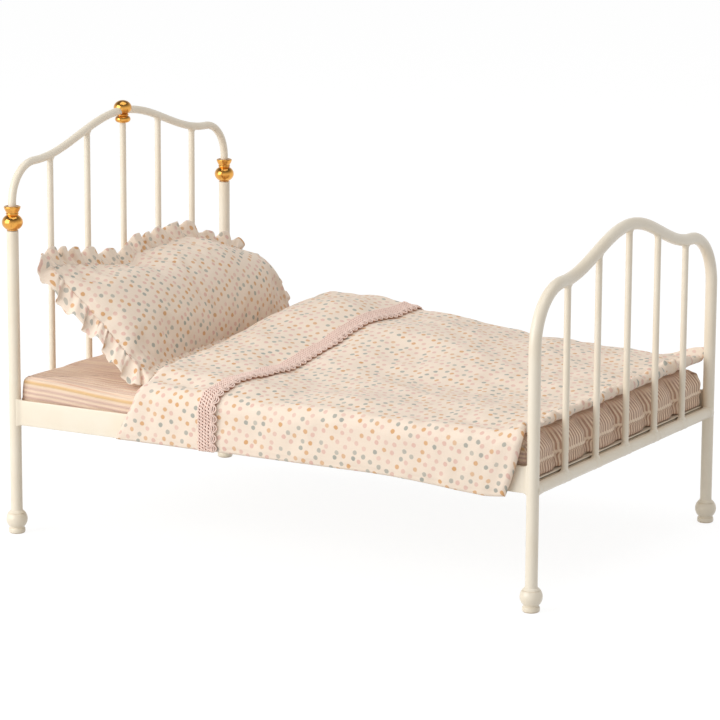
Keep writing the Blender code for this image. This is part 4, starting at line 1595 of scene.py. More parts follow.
@dataclass(frozen=True)
class LeaningSpine:
    """Middle surface of the pillow as it leans on the headboard.

    Attributes:
        toe: (x, z) of its foremost edge on the bed's middle line.
        top: (x, z) of its top edge.
        sag_along: where it sags, as a share of the way along the bed.
        sag_up: the same, up.
        skew: how the foremost edge runs back towards the far side.
        count: points along it.
    """

    toe: Span = (-0.0595, 0.06178)
    top: Span = (-0.1023, 0.1020)
    sag_along: float = 0.45
    sag_up: float = 0.22
    skew: float = -0.092
    count: int = 161

    def line(self) -> tuple[Array, Array, Array]:
        """Follows the spine from the toe to the top.

        Returns:
            Ways along it, its (x, z) points and its directions.
        """
        share = np.linspace(0, 1, self.count)[:, None]
        toe, top = np.array(self.toe), np.array(self.top)
        sag = toe + (top - toe) * np.array((self.sag_along, self.sag_up))
        points = toe * (1 - share) ** 2 + sag * 2 * share * (1 - share) + top * share ** 2
        slopes = np.gradient(points, axis=0)
        return ways_along(points), points, slopes / np.linalg.norm(slopes, axis=1, keepdims=True)

    @property
    def length(self) -> float:
        """Length from the toe to the top."""
        return float(self.line()[0][-1])

    def place(self, across: Array, up: Array, off: Array) -> Array:
        """Carries flat places onto the leaning surface.

        Args:
            across: places across the bed.
            up: ways from the toe.
            off: distances off the surface, towards the foot.

        Returns:
            The points.
        """
        ways, points, slopes = self.line()
        x, z = (np.interp(up, ways, points[:, k]) for k in (0, 1))
        run, climb = (np.interp(up, ways, slopes[:, k]) for k in (0, 1))
        lean = (x - self.top[0]) / (self.toe[0] - self.top[0])
        beyond = np.maximum(up - ways[-1], 0.0) + np.minimum(up, 0.0)
        x = x + self.skew * across * lean + run * beyond + climb * off
        return np.stack([x, across + 0 * x, z + climb * beyond - run * off], axis=-1)


@dataclass(frozen=True)
class Ruffle:
    """Strip folded double and gathered into uneven folds, caught in the pillow's seam.

    Shares named for the underside say how much the folds and the width lose where the ruffle lies
    under the pillow.
    """

    width: float = 0.0072
    gauge: float = 0.0004
    edge_gauge: float = 0.25
    gather: float = 1.35
    count: int = 1500
    leaf_rows: int = 12
    outer_share: float = 0.8
    fold_height: float = 0.0017
    fold_pitch: float = 0.0078
    fold_seed: int = 31
    fold_crisp: float = 1.4
    fold_power: float = 0.8
    fold_sway: float = 0.5
    gather_height: float = 0.00055
    gather_pitch: float = 0.0026
    gather_seed: int = 47
    gather_start: float = 0.12
    gather_fade: float = 0.5
    pitch_spread: Span = (0.55, 1.5)
    height_spread: Span = (0.5, 1.3)
    uneven: Ripples = Ripples(0.09, 0.014, 12)
    lobe_least: float = 0.84
    lobe_spread: float = 0.21
    near_wider: float = 0.12
    near_droop: float = 50.0
    far_droop: float = 14.0
    under_folds: float = 0.75
    under_gathers: float = 0.5
    under_width: float = 0.42
    seat: float = 0.0005
    seat_reach: float = 0.0006
    seat_soft: float = 0.0003

    def folds(self, way: Array, length: float, pitch: float, seed: int) -> tuple[Array, Array]:
        """Uneven folds round the seam.

        Args:
            way: ways round the seam.
            length: length of the seam.
            pitch: middle width of a fold.
            seed: number that sets the folds.

        Returns:
            The phase and the height of the fold at each way.
        """
        rng = np.random.default_rng(seed)
        count = int(length / pitch)
        pitches = rng.uniform(*self.pitch_spread, count)
        marks = np.concatenate([[0.0], np.cumsum(pitches)]) / pitches.sum() * length
        phase = np.interp(way, marks, np.arange(count + 1)) * 2 * math.pi
        heights = rng.uniform(*self.height_spread, count)
        return phase, np.interp(way, (marks[:-1] + marks[1:]) / 2, heights, period=length)

    def settle(self, rings: Array, mattress: Mattress) -> None:
        """Lays points that reach into the mattress on top of it.

        Args:
            rings: points of the ruffle.
            mattress: what it lies on.
        """
        low = MATTRESS_TOP + mattress.rise(rings[..., 0], rings[..., 1]) + self.seat - rings[..., 2]
        lift = np.log1p(np.exp(low / self.seat_soft)) * self.seat_soft
        rings[..., 2] += np.where(low > -self.seat_reach, lift, 0.0)

    def build(self, pillow: "Pillow", mattress: Mattress) -> None:
        """Builds the ruffle round a pillow's seam.

        Args:
            pillow: the pillow.
            mattress: what it lies on.
        """
        spots, outs, length = pillow.seam_line(self.count)
        way = np.linspace(0, length, self.count, endpoint=False)
        near, far = np.clip(-outs[:, 0], 0, 1) ** 2, np.clip(outs[:, 0], 0, 1) ** 2
        below = np.clip(-outs[:, 1], 0, 1) ** 2
        border = spots + outs * self.width * self.outer_share
        steps = np.linalg.norm(np.roll(border, -1, axis=0) - border, axis=1)
        outer_way = (np.cumsum(steps) - steps) / steps.sum() * length
        phase, high = self.folds(outer_way, length, self.fold_pitch, self.fold_seed)
        crisp = np.tanh(self.fold_crisp * np.sin(phase)) / math.tanh(self.fold_crisp)
        fold = crisp * high * (1 - self.under_folds * below)
        fine_phase, fine_high = self.folds(way, length, self.gather_pitch, self.gather_seed)
        fine = np.sin(fine_phase) * fine_high * (1 - self.under_gathers * below)
        sway = -self.fold_sway * self.fold_pitch / (2 * math.pi) * np.sin(2 * phase)
        sway = sway * (1 - self.under_folds * below)
        lobes = self.lobe_least + self.lobe_spread * np.sqrt(np.abs(np.sin(phase / 2 + math.pi / 4)))
        wide = self.width * (1 + self.uneven.at(way, 0 * way)) * (1 - self.under_width * below)
        wide = wide * lobes * (1 + self.near_wider * near)
        aside = np.stack([-outs[:, 1], outs[:, 0]], axis=1)
        droop = np.radians(self.near_droop) * near + np.radians(self.far_droop) * far
        shares = np.linspace(0, 1, self.leaf_rows)
        leaf = [(share, 1) for share in shares] + [(share, -1) for share in shares[::-1]]
        rings = np.zeros((self.count, len(leaf), 3))
        for k, (share, face) in enumerate(leaf):
            reach = wide * share
            edge = spots + outs * (reach - 2 * CLEARANCE)[:, None] + aside * (sway * share)[:, None]
            off = self.fold_height * fold * share ** self.fold_power
            off = off + self.gauge / 2 * face * (self.edge_gauge if share == 1.0 else 1.0)
            fading = ease(share / self.gather_start) * math.exp(-share / self.gather_fade)
            off = off + self.gather_height * fine * fading
            rings[:, k] = pillow.leaned(np.column_stack([edge, off]))
            rings[:, k, 1] -= np.sign(outs[:, 0]) * (1 - np.cos(droop)) * reach
            rings[:, k, 2] -= np.sin(droop) * reach
        self.settle(rings, mattress)
        flat_way = np.concatenate([way, [length]]) * self.gather
        down = np.concatenate([shares, 2 - shares[::-1]]) * self.width
        cloth = np.stack(np.meshgrid(flat_way, down, indexing="ij"), axis=2)
        numbers = np.arange(self.count * len(leaf)).reshape(self.count, len(leaf))
        faces = [tuple(face) for face in corners_of(np.concatenate([numbers, numbers[:1]])).tolist()]
        shape = Shape(rings.reshape(-1, 3), faces, corners_of(cloth).reshape(-1, 2))
        piece = add_piece("pillow_frill", shape, COTTON, Body.PILLOW, "pillow_ruffle")


@dataclass(frozen=True)
class Pillow:
    """Stuffed dotted pillow that leans on the headboard.

    Shares across run from -1 at the near seam to 1 at the far one, and shares up from -1 at the toe
    to 1 at the top. The pairs of its rounds and corners are powers.
    """

    spine: LeaningSpine = LeaningSpine()
    ruffle: Ruffle = Ruffle()
    stuffing: Stuffing = Stuffing(pressure=1.2, spare=0.025, most=0.004)
    fill: float = 0.7
    columns: int = 112
    rows: int = 56
    crowding: float = 0.97
    width: float = 0.1230
    front: float = 0.0112
    back: float = 0.0074
    corner: float = 0.0045
    corner_share: float = 0.29
    corner_powers: Span = (14, 8)
    pull: float = 0.0016
    near_round: Span = (2.4, 0.80)
    far_round: Span = (6.0, 0.55)
    far_high_power: float = 2.6
    up_round: Span = (2.6, 0.7)
    slack: float = 0.45
    slack_across: Rise = Rise(0.35, 0.5)
    slack_up: Rise = Rise(-0.4, 0.9)
    stand: float = 0.0017
    near_peak: float = 0.0057
    near_peak_at: Rise = Rise(-0.20, -0.8)
    far_slump: float = 0.0095
    far_slump_at: Rise = Rise(0.48, 0.47)
    far_spread: float = 0.0038
    notch: float = 0.0022
    notch_at: Rise = Rise(-0.21, 0.14)
    notch_back: float = 1.6
    swell: float = 0.0008
    swell_at: Bell = Bell(0.45, 0.25)
    near_lean: float = 0.0026
    far_lean: float = 0.0030
    dent: float = 0.0026
    dent_across: Bell = Bell(-0.18, 0.14)
    dent_up: Bell = Bell(1.0, 0.5)
    dent_off: float = 0.004
    tuck: float = 0.0028

    @property
    def half_up(self) -> float:
        """Half of the pillow's height, seam to seam, laid flat."""
        return self.spine.length / 2 - self.ruffle.width - CLEARANCE

    def flat(self, a: Array, b: Array) -> tuple[Array, Array]:
        """Lays shares of the pillow out flat, inside its drawn-in seam line.

        Args:
            a: shares across.
            b: shares up.

        Returns:
            The flat places across and up.
        """
        across = a * self.width / 2 - self.pull * (1 - b * b) * a
        up = b * self.half_up - self.pull * (1 - a * a) * b
        cut = self.corner_share * self.corner
        cut = cut * np.abs(a) ** self.corner_powers[0] * np.abs(b) ** self.corner_powers[1]
        return across - np.sign(a) * cut, up - np.sign(b) * cut

    def crowded(self, count: int) -> Array:
        """Shares from -1 to 1, closer together at the seams."""
        turn = QUARTER * self.crowding
        return np.sin(np.linspace(-1, 1, count) * turn) / math.sin(turn)

    def cover(self) -> Shape:
        """Sews the cover, laid flat and half filled.

        Returns:
            The cover as a closed skin.
        """
        a, b = np.meshgrid(self.crowded(self.columns), self.crowded(self.rows))
        across, up = self.flat(a, b)
        near = np.maximum(1 - np.abs(a) ** self.near_round[0], 0) ** self.near_round[1]
        far_power = self.far_round[0] - self.far_high_power * ease(b)
        far = np.maximum(1 - np.abs(a) ** far_power, 0) ** self.far_round[1]
        upward = np.maximum(1 - np.abs(b) ** self.up_round[0], 0) ** self.up_round[1]
        full = np.where(a < 0, near, far) * upward
        full = full * (1 - self.slack * self.slack_across.at(a) * self.slack_up.at(b))
        over = np.stack([across, up, self.front * full], axis=2)
        under = np.stack([across, up, -self.back * full], axis=2)
        return envelope(over, under, np.stack([across, up], axis=2))

    def leaned(self, flat: Array) -> Array:
        """Sets the flat pillow leaning on the headboard, with its peak, slump, notch and dent.

        Args:
            flat: flat points: across, up and off the pillow's middle.

        Returns:
            The points in place.
        """
        across, up, off = flat[:, 0], flat[:, 1], flat[:, 2]
        a = np.clip(across / (self.width / 2), -1.0, 1.0)
        b = np.clip(up / self.half_up, -1.0, 1.0)
        high, low = ease(b), ease(-b)
        rise = self.near_peak * self.near_peak_at.at(a) - self.far_slump * self.far_slump_at.at(a)
        rise = rise - self.notch + self.notch_back * self.notch * self.notch_at.at(a)
        rise = rise + self.stand + self.swell * self.swell_at.at(a)
        across = across + self.far_spread * ease(a) * (1 - high)
        lean = (self.near_lean * ease(-a) + self.far_lean * ease(a)) * (1 - b * b)
        dent = self.dent * self.dent_across.at(a) * self.dent_up.at(b) * ease(off / self.dent_off)
        way = up + rise * high - self.tuck * low + self.spine.length / 2
        return self.spine.place(across, way, off + lean - dent)

    def seam_line(self, count: int) -> tuple[Array, Array, float]:
        """Goes round the seam in even steps.

        Args:
            count: how many points it has.

        Returns:
            The flat points, their outward directions and the seam's length.
        """
        side_count, smooth = 400, 9
        side = np.linspace(-1, 1, side_count, endpoint=False)
        ones = np.ones_like(side)
        a = np.concatenate([side, ones, -side, -ones])
        b = np.concatenate([-ones, side, ones, -side])
        line = np.stack(self.flat(a, b), axis=1)
        loop = np.concatenate([line, line[:1]])
        ways = ways_along(loop)
        even = np.linspace(0, ways[-1], count, endpoint=False)
        spots = np.stack([np.interp(even, ways, loop[:, k]) for k in (0, 1)], axis=1)
        way = np.roll(spots, -smooth, axis=0) - np.roll(spots, smooth, axis=0)
        way /= np.linalg.norm(way, axis=1, keepdims=True)
        return spots, np.stack([way[:, 1], -way[:, 0]], axis=1), float(ways[-1])

    def build(self, mattress: Mattress) -> None:
        """Builds the pillow and its ruffle.

        Args:
            mattress: what the pillow's toe lies on.
        """
        on_seam = 1e-7
        cover = self.cover()
        points = cover.points
        points = self.stuffing.fill(cover, np.flatnonzero(np.abs(points[:, 2]) < on_seam))
        cover.points = self.leaned(points)
        over = cover.points[:self.rows * self.columns].reshape(self.rows, self.columns, 3)
        cover.cloth = both_sides(laid_flat(over, self.rows // 2, self.columns // 2))
        piece = add_piece("pillow_cushion", cover, COTTON, Body.PILLOW, "pillow")
        self.ruffle.build(self, mattress)


@dataclass(frozen=True)
class Hollow:
    """Soft hollow in the quilt: its depth, and its middle and width along and across the bed."""

    depth: float
    along: Bell
    across: Union[Bell, Rise]

    def at(self, x: Array, y: Array) -> Array:
        """How deep the hollow is at each place."""
        return self.depth * self.along.at(x) * self.across.at(y)


@dataclass(frozen=True)
class Tucks:
    """Small slanting folds that stitching draws into the foot hem, and the way over which they fade."""

    ripples: Ripples
    slant: float
    fade: float

    def at(self, x: Array, way: Array, from_foot: Array) -> Array:
        """Height of the folds at each place."""
        return self.ripples.at(way, self.slant * x) * np.exp(-from_foot / self.fade)


@dataclass(frozen=True)
class Duvet:
    """Stuffed quilt over the mattress, with its head end folded back.

    A station counts across the quilt from its near hem: 0 to 1 up the near side, to 2 round the
    turn, to 3 over the bed's top, to 4 round the far turn and to 5 down the far side.
    """

    mattress: Mattress
    foot: float = 0.1049
    edge: float = 0.0718
    turn: float = 0.0035
    near_loft: float = 0.0034
    far_loft: float = 0.0130
    foot_loft: float = 0.0056
    hem: float = 0.0028
    foot_hem: float = 0.0040
    side_run: float = 0.0120
    foot_run: float = 0.0160
    side_round: float = 0.0017
    foot_round: float = 0.0022
    head_round: float = 0.0034
    bunch_start: float = -0.0350
    bunch_run: float = 0.0750
    foot_lift: float = 0.0016
    near_drop: float = 0.0141
    corner_drop: float = 0.0031
    corner_run: float = 0.0600
    corner_round: float = 0.0062
    corner_power: float = 1.4
    far_drop: float = 0.0125
    far_tip: float = 0.0055
    tip_lift: float = 40.0
    tip_thin: float = 0.45
    fold_edge: float = -0.0577
    fold_skew: float = -0.092
    fold_rake: float = 0.0095
    fold_hem: float = -0.0142
    fold_hem_skew: float = 0.050
    fold_step: float = 0.0004
    fold_near: float = 0.0036
    fold_far: float = 0.0038
    fold_side: float = 0.0010
    fold_taper: float = 0.0200
    fold_nose: float = 0.0160
    nose_height: float = 0.0072
    nose_most: float = 1.1
    top_from: Rise = Rise(1.6, 0.6)
    top_to: Rise = Rise(3.5, -0.6)
    drawn_hem: Ripples = Ripples(0.0006, 0.011, 17)
    broad: Ripples = Ripples(0.00065, 0.034, 3)
    broad_side: float = 0.35
    fine: Ripples = Ripples(0.00022, 0.009, 4)
    tucks: Tucks = Tucks(Ripples(0.0006, 0.0070, 6), 0.25, 0.007)
    gathers: Tucks = Tucks(Ripples(0.0006, 0.0027, 9), 0.1, 0.005)
    seam: float = 0.00050
    seam_at: Bell = Bell(0.0032, 0.0006)
    near_seam: float = 0.00030
    near_seam_at: Bell = Bell(0.0016, 0.0004)
    stitch_depth: float = 0.35
    stitch_pitch: float = 0.0019
    sag: Hollow = Hollow(0.0007, Bell(0.040, 0.045), Bell(-0.022, 0.016))
    far_dip: Hollow = Hollow(0.0018, Bell(0.042, 0.008), Bell(0.060, 0.030))
    far_hollow: Hollow = Hollow(0.0015, Bell(0.030, 0.026), Rise(0.015, 0.03))
    fill: float = 0.45

    def section(self, x: Any, station: Any) -> tuple[Array, Array, Array, Array, Array]:
        """Inner face of the quilt.

        Args:
            x: places along the bed.
            station: stations across the quilt.

        Returns:
            y, z, the outward direction's y and z, and the way in from the bed's edge.
        """
        x, station = np.broadcast_arrays(np.asarray(x, float), np.asarray(station, float))
        base = MATTRESS_TOP + CLEARANCE + self.foot_lift * ease((x - self.foot) / self.foot_run + 1)
        to_foot = ease((x - self.fold_edge) / (self.foot - self.fold_edge))
        corner = ease((x - self.foot) / self.corner_run + 1)
        near_drop = self.near_drop + self.corner_drop * corner
        far_drop = self.far_drop + (self.far_tip - self.far_drop) * to_foot
        angle = np.radians(90 - (90 + self.tip_lift) * corner)
        near_turn = QUARTER * np.clip(2 - station, 0, 1)
        far_turn = angle * np.clip(station - 3, 0, 1)
        hang = near_drop * np.clip(1 - station, 0, 1)
        swing = far_drop * np.clip(station - 4, 0, 1)
        y_top = self.edge * (2 * np.clip(station - 2, 0, 1) - 1)
        y_near = -(self.edge + self.turn * np.sin(near_turn))
        z_near = base - self.turn * (1 - np.cos(near_turn)) - hang
        y_far = self.edge + self.turn * np.sin(np.abs(far_turn)) + swing * np.cos(far_turn)
        z_far = base - np.sign(far_turn) * self.turn * (1 - np.cos(far_turn)) - swing * np.sin(far_turn)
        near, far = station < 2, station > 3
        y = np.where(near, y_near, np.where(far, y_far, y_top))
        z = np.where(near, z_near, np.where(far, z_far, base + self.mattress.rise(x, y_top)))
        out_y = np.where(near, -np.sin(near_turn), np.where(far, np.sin(far_turn), 0.0))
        out_z = np.where(near, np.cos(near_turn), np.where(far, np.cos(far_turn), 1.0))
        inward = np.where(near | far, 0.0, self.edge - np.abs(y_top))
        return y, z, out_y, out_z, inward

    def near_hang(self, station: Array) -> Array:
        """How far down the near side a station hangs: 0 on the bed's top, 1 at the hem."""
        round_fall = self.turn * (1 - np.cos(QUARTER * np.clip(2 - station, 0, 1)))
        return (round_fall + self.near_drop * np.clip(1 - station, 0, 1)) / (self.turn + self.near_drop)

    def flat_y(self, station: Array) -> Array:
        """Place across the bed of a station, with the far side hanging straight.

        Args:
            station: stations across the quilt.

        Returns:
            The places.
        """
        top = self.edge * (2 * np.clip(station - 2, 0, 1) - 1)
        near = np.sin(QUARTER * np.clip(2 - station, 0, 1))
        far = np.sin(QUARTER * np.clip(station - 3, 0, 1))
        return top + self.turn * (far - near)

    def head_x(self, station: Array) -> Array:
        """Folded edge at the head end, raked towards the head down the near side."""
        rake = self.fold_rake * self.near_hang(station)
        return self.fold_edge + self.fold_skew * self.flat_y(station) - rake

    def hem_x(self, station: Array) -> Array:
        """Hem of the folded-back layer."""
        return self.fold_hem + self.fold_hem_skew * self.flat_y(station)

    def foot_x(self, station: Array) -> Array:
        """Foot hem, rounded at the hanging near corner and drawn up in places by its stitching."""
        draw = np.maximum(self.drawn_hem.height + self.drawn_hem.at(self.flat_y(station), 0 * station), 0.0)
        return self.foot - self.corner_round * self.near_hang(station) ** self.corner_power - draw

    def on_top(self, station: Array) -> Array:
        """1 on the bed's top and the far side, fading out round the near turn."""
        return self.top_from.at(station)

    def border_round(self, x: Array, station: Array) -> Array:
        """How full the quilt is near its borders.

        Args:
            x: places along the bed.
            station: stations across the quilt.

        Returns:
            0 on the borders, 1 away from them.
        """
        sides = rounded(self.near_drop * station, self.side_round)
        sides = sides * rounded(self.far_drop * (5 - station), self.side_round)
        ends = rounded(self.foot_x(station) - x, self.foot_round)
        return sides * ends * rounded(x - self.head_x(station), self.head_round)

    def thickness(self, x: Array, station: Array, folded: Any) -> Array:
        """Loft of the quilt, which grows from its hems inward and bunches up on the far side.

        Args:
            x: places along the bed.
            station: stations across the quilt.
            folded: 1 where the folded-back layer lies on it, else 0.

        Returns:
            The thickness.
        """
        y, _, _, _, inward = self.section(x, station)
        to_foot = ease((x - self.foot) / self.foot_run + 1)
        bunch = ease((y - self.bunch_start) / self.bunch_run)
        far_loft = self.far_loft + (self.foot_loft - self.far_loft) * ease(x / HALF_LENGTH)
        full = self.near_loft + (far_loft - self.near_loft) * bunch
        build = np.minimum(ease(inward / self.side_run), ease((self.foot - x) / self.foot_run))
        hem = self.hem + (self.foot_hem - self.hem) * to_foot * self.on_top(station)
        thick = hem + (full - hem) * build
        fold_full = self.fold_near + (self.fold_far - self.fold_near) * bunch
        fold_build = build * ease((self.hem_x(station) - x) / self.fold_taper)
        thick = thick + folded * (self.fold_side + (fold_full - self.fold_side) * fold_build)
        tip = ease((x - self.foot) / self.corner_run + 1) * ease(station - 3)
        thick = thick * (1 - self.tip_thin * tip)
        from_edge = np.clip((x - self.head_x(station)) / self.fold_nose, 0.0, 1.0)
        nose = np.minimum(self.nose_height, self.nose_most * thick)
        return nose + (thick - nose) * from_edge * (2 - from_edge)

    def puckers(self, x: Array, station: Array) -> Array:
        """What creases and stitching add to the quilt's outer face.

        Args:
            x: places along the bed.
            station: stations across the quilt.

        Returns:
            The heights that they add.
        """
        y = self.section(x, station)[0]
        way = y + (self.near_drop + self.turn) * np.clip(station - 2, -2, 0)
        on_top = self.on_top(station) * self.top_to.at(station)
        from_foot = self.foot_x(station) - x
        broad = self.broad.at(x, way) * (self.broad_side + (1 - self.broad_side) * on_top)
        tucks = (self.tucks.at(x, way, from_foot) + self.gathers.at(x, way, from_foot)) * on_top
        stitch = 1 + self.stitch_depth * np.sin(2 * math.pi * way / self.stitch_pitch)
        seam = self.seam * self.seam_at.at(from_foot) * on_top * stitch
        seam = seam + self.near_seam * self.near_seam_at.at(self.near_drop * station)
        hollows = sum(hollow.at(x, y) for hollow in (self.sag, self.far_dip, self.far_hollow))
        return broad + self.fine.at(x, way) + tucks - seam - hollows

    def stood(self, x: Array, station: Array, stand: Array) -> Array:
        """Points that stand off the quilt's inner side by a distance."""
        y, z, out_y, out_z, _ = self.section(x, station)
        return np.stack([x + 0 * y, y + out_y * stand, z + out_z * stand], axis=-1)

    def outer(self, x: Array, station: Array, folded: Any, off: Any, creased: bool = True) -> Array:
        """Points off the quilt's outer face.

        Args:
            x: places along the bed.
            station: stations across the quilt.
            folded: 1 where the folded-back layer lies on it, else 0.
            off: distance off the face.
            creased: whether the face has its creases and stitching.

        Returns:
            The points.
        """
        full = self.border_round(x, station)
        stand = self.thickness(x, station, folded) * (0.5 + 0.5 * full) + off
        if creased:
            stand = stand + self.puckers(x, station) * full
        return self.stood(x, station, stand)

    def inner(self, x: Array, station: Array, folded: Any) -> Array:
        """Points of the quilt's inner face, which meets the outer one at the borders."""
        stand = self.thickness(x, station, folded) * (0.5 - 0.5 * self.border_round(x, station))
        return self.stood(x, station, stand)

    def stations(self) -> Array:
        """Picks the stations of the mesh, closer together at the hems and the turns.

        Returns:
            The stations, from hem to hem.
        """
        hem_count, turn_count, top_count = 20, 12, 200
        hem = 1 - np.cos(np.linspace(0, QUARTER, hem_count))
        near_turn, far_turn = (np.linspace(k, k + 1, turn_count)[1:] for k in (1, 3))
        return np.concatenate([hem, near_turn, np.linspace(2, 3, top_count)[1:], far_turn, 5 - hem[::-1][1:]])

    def build(self) -> None:
        """Builds the quilt."""
        fold_count, fold_power, body_count, body_power = 44, 0.8, 92, 0.9
        station = self.stations()
        head, hem, foot = self.head_x(station), self.hem_x(station), self.foot_x(station)
        fold_shares = 1 - np.cos(np.linspace(0, QUARTER, fold_count)) ** fold_power
        fold_shares[-1] = 1.0
        body_shares = np.sin(np.linspace(0, QUARTER, body_count)) ** body_power
        fold_rows = head + (hem - head) * fold_shares[:, None]
        body_rows = hem + self.fold_step + (foot - hem - self.fold_step) * body_shares[:, None]
        x = np.concatenate([fold_rows, body_rows])
        folded = np.concatenate([np.ones(fold_rows.shape), np.zeros(body_rows.shape)])
        stations = np.broadcast_to(station, x.shape)
        plain = self.outer(x, stations, folded, 0.0, creased=False)
        cloth = laid_flat(plain, fold_count, len(station) // 2, 1)
        shape = envelope(self.outer(x, stations, folded, 0.0), self.inner(x, stations, folded), cloth)
        piece = add_piece("duvet_quilt", shape, COTTON, Body.DUVET, "duvet")


@dataclass(frozen=True)
class LaceEdging:
    """Crocheted edging on the hem of the quilt's folded-back layer.

    Rows of crossing stitches with a chain between them lie on the fold, and scallops run past its
    hem. Heights are given in yarn radii, and a pair is a middle height and its sway.
    """

    quilt: Duvet
    width: float = 0.0050
    rows: int = 4
    hole: float = 0.0012
    yarn: float = 0.00026
    yarn_sides: int = 6
    point_step: float = 0.00026
    start: float = 0.0004
    station_span: Span = (0.02, 4.98)
    station_count: int = 3000
    stitch_sway: float = 0.42
    stitch_height: Span = (1.3, 0.8)
    chain_pitch: float = 0.75
    chain_sway: float = 0.3
    chain_height: Span = (1.6, 0.5)
    chain_yarn: float = 1.05
    scallop: float = 0.0020
    scallop_pitch: float = 0.0036
    scallop_rounds: Triple = (1.0, 0.62, 0.28)
    scallop_height: Span = (1.9, -0.5)       # at the hem's line, and what the largest round adds
    scallop_yarn: float = 1.1
    scallop_droop: float = 0.35
    ground_share: float = 0.9
    ground_height: Span = (0.2, 0.7)         # lower and upper face

    def hem_line(self) -> tuple[Array, Array]:
        """Follows the hem from the near side to the far side.

        Returns:
            Ways along the hem, and their stations on the quilt.
        """
        stations = np.linspace(*self.station_span, self.station_count)
        return ways_along(self.quilt.outer(self.quilt.hem_x(stations), stations, 1.0, 0.0)), stations

    def laid(self, line: tuple[Array, Array], way: Array, back: Array, height: Any) -> Array:
        """Points on the fold.

        Args:
            line: ways along the hem, and their stations.
            way: ways of the points along the hem.
            back: how far back from the hem they lie.
            height: how far off the quilt, in yarn radii.

        Returns:
            The points.
        """
        station = np.interp(way, *line)
        off = self.yarn * height + self.scallop_droop * np.minimum(back, 0.0)
        return self.quilt.outer(self.quilt.hem_x(station) - back, station, 1.0, off)

    def lobes(self, way: Array) -> Array:
        """Line of the scallops, from 0 to 1."""
        return np.sqrt(np.abs(np.sin(math.pi * way / self.scallop_pitch)))

    def ground(self, line: tuple[Array, Array], way: Array) -> Shape:
        """The close ground of the edging, under its open stitches.

        Args:
            line: ways along the hem, and their stations.
            way: ways of the ground's points along the hem.

        Returns:
            The ground as a thin closed strip with a scalloped border.
        """
        low, high = self.ground_height
        front = self.start - self.ground_share * self.scallop * self.lobes(way)
        rear = np.full(way.shape, self.start + self.width / 2)
        corners = [(front, low), (front, high), (rear, high), (rear, low)]
        return loft(np.stack([self.laid(line, way, back, height) for back, height in corners], axis=1))

    def build(self) -> None:
        """Builds the edging."""
        line = self.hem_line()
        way = np.arange(0.0, line[0][-1], self.point_step)
        row_height = self.width / self.rows
        strands = []
        for row in range(self.rows):
            for shift in (0.0, math.pi):
                beat = math.pi * way / self.hole + shift + row * QUARTER
                back = self.start + row_height * (row + 0.5 + self.stitch_sway * np.sin(beat))
                strands.append((back, self.stitch_height[0] + self.stitch_height[1] * np.cos(beat), 1.0))
        for row in range(self.rows + 1):
            beat = 2 * math.pi * way / (self.chain_pitch * self.hole) + row
            back = self.start + row_height * row + self.chain_sway * self.yarn * np.sin(beat)
            height = self.chain_height[0] + self.chain_height[1] * np.cos(beat)
            strands.append((back, height, self.chain_yarn))
        for grow in self.scallop_rounds:
            back = self.start - self.scallop * grow * self.lobes(way)
            height = self.scallop_height[0] + self.scallop_height[1] * grow
            strands.append((back, height, self.scallop_yarn))
        tubes = [tube(self.laid(line, way, back, height), self.yarn * thick, self.yarn_sides)
                 for back, height, thick in strands]
        shape = Shape.joined([self.ground(line, way)] + tubes)
        add_piece("lace_edging", shape, CROCHET, Body.DUVET, "duvet_lace")


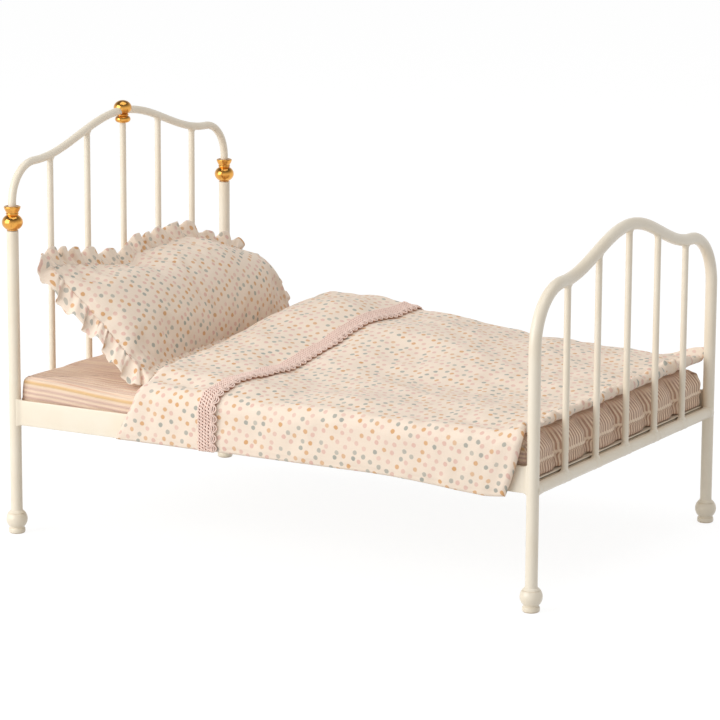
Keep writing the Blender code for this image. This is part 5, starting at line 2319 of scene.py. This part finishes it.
@dataclass(frozen=True)
class Studio:
    """White floor, soft light from the camera's left and a camera at the photo's angle."""

    target: Triple = (-0.00215, 0.0, 0.06405)
    distance: float = 1.2490
    yaw: float = 29.585
    pitch: float = 11.356
    roll: float = 0.292
    lens: float = 167.04
    sensor: float = 36.0
    clip_end: float = 100.0
    sky: float = 0.52
    gloss_fade: Span = (0.05, 0.75)          # heights of the sky between which its gloss fades
    gloss_least: float = 0.16
    key_aim: Triple = (-0.48, -0.81, 0.34)
    key_power: float = 8.5
    key_size: float = 0.9
    key_distance: float = 1.15
    top_power: float = 4.0
    top_size: float = 1.0
    top_height: float = 1.2
    floor_half: float = 6.0
    floor_colour: Colour = (0.72, 0.72, 0.72)
    floor_dim: Colour = (0.20, 0.20, 0.20)
    floor_glow: float = 0.88

    def build(self) -> None:
        """Sets up the camera, the lights and the floor."""
        self.place_camera()
        self.light_world()
        key = Vector(self.target) + Vector(self.key_aim) * self.key_distance
        self.add_lamp("key_softbox", key, self.key_power, self.key_size)
        top = Vector(self.target) + Vector((0.0, 0.0, self.top_height))
        self.add_lamp("top_softbox", top, self.top_power, self.top_size)
        self.lay_floor()
        bpy.context.scene.view_settings.view_transform = "Standard"

    def place_camera(self) -> None:
        """Places the camera at the photo's angle."""
        yaw, pitch, roll = (math.radians(angle) for angle in (self.yaw, self.pitch, self.roll))
        back = Vector((math.sin(yaw) * math.cos(pitch), -math.cos(yaw) * math.cos(pitch), math.sin(pitch)))
        right = Vector((math.cos(yaw), math.sin(yaw), 0.0))
        up = back.cross(right)
        rolled_right = right * math.cos(roll) + up * math.sin(roll)
        rolled_up = up * math.cos(roll) - right * math.sin(roll)
        camera = bpy.data.objects.new("camera", bpy.data.cameras.new("camera"))
        camera.data.lens = self.lens
        camera.data.sensor_width = self.sensor
        camera.data.clip_end = self.clip_end
        place = Matrix.Translation(Vector(self.target) + back * self.distance)
        camera.matrix_world = place @ Matrix((rolled_right, rolled_up, back)).transposed().to_4x4()
        bpy.context.collection.objects.link(camera)
        bpy.context.scene.camera = camera

    def light_world(self) -> None:
        """Lays out a plain sky that lights softly, and shows as the studio's white to eye and gloss."""
        world = bpy.data.worlds.new("studio")
        bpy.context.scene.world = world
        bench = NodeBench(world)
        path = bench.add("LightPath")
        seen = bench.sum("MAXIMUM", path.outputs["Is Camera Ray"], path.outputs["Is Transmission Ray"])
        place = bench.add("TexCoord").outputs["Generated"]
        height = bench.add("SeparateXYZ", {"Vector": place}).outputs["Z"]
        low, high = self.gloss_fade
        feeds = {"Value": height, "From Min": low, "From Max": high, "To Max": self.gloss_least}
        fade = bench.add("MapRange", {**feeds, "To Min": 1.0}).outputs["Result"]
        gloss = bench.sum("MULTIPLY", path.outputs["Is Glossy Ray"], fade)
        diffuse = bench.sum("MULTIPLY", path.outputs["Is Diffuse Ray"], self.sky)
        strength = bench.sum("MAXIMUM", bench.sum("MAXIMUM", seen, gloss), diffuse)
        background = bench.tree.nodes["Background"]
        bench.feed(background.inputs["Color"], WHITE)
        bench.feed(background.inputs["Strength"], strength)

    def add_lamp(self, name: str, place: Vector, power: float, size: float) -> None:
        """Adds a square softbox that faces the bed.

        Args:
            name: name of the lamp.
            place: where it stands.
            power: power in watts.
            size: length of its sides.
        """
        lamp = bpy.data.objects.new(name, bpy.data.lights.new(name, "AREA"))
        lamp.data.energy = power
        lamp.data.size = size
        lamp.location = place
        lamp.rotation_euler = (place - Vector(self.target)).to_track_quat("Z", "Y").to_euler()
        bpy.context.collection.objects.link(lamp)

    def lay_floor(self) -> None:
        """Lays a white floor that keeps a soft shadow."""
        half = self.floor_half
        corners = [(-half, -half, 0.0), (half, -half, 0.0), (half, half, 0.0), (-half, half, 0.0)]
        mesh = bpy.data.meshes.new("floor")
        mesh.from_pydata(corners, [], [(0, 1, 2, 3)])
        floor = bpy.data.objects.new("floor", mesh)
        bpy.context.collection.objects.link(floor)
        bench = NodeBench(bpy.data.materials.new("WhiteFloor"))
        path = bench.add("LightPath")
        seen = bench.sum("MAXIMUM", path.outputs["Is Camera Ray"], path.outputs["Is Glossy Ray"])
        seen = bench.sum("MAXIMUM", seen, path.outputs["Is Transmission Ray"])
        plain = bench.add("BsdfDiffuse", {"Color": self.floor_colour}).outputs[0]
        dim = bench.add("BsdfDiffuse", {"Color": self.floor_dim}).outputs[0]
        glow = bench.add("Emission", {"Color": WHITE, "Strength": self.floor_glow}).outputs[0]
        lit = bench.add("AddShader", {0: dim, 1: glow}).outputs[0]
        shown = bench.add("MixShader", {0: seen, 1: plain, 2: lit}).outputs[0]
        bench.feed(bench.tree.nodes["Material Output"].inputs["Surface"], shown)
        mesh.materials.append(bench.owner)


def main() -> None:
    """Builds the bedstead, its bedding and the studio, in that order."""
    logging.basicConfig(level=logging.INFO, format="%(name)s: %(message)s", stream=sys.stdout)
    mattress = Mattress()
    quilt = Duvet(mattress)
    Bedstead().build()
    mattress.build()
    Pillow().build(mattress)
    quilt.build()
    LaceEdging(quilt).build()
    Studio().build()


if __name__ == "__main__":
    main()
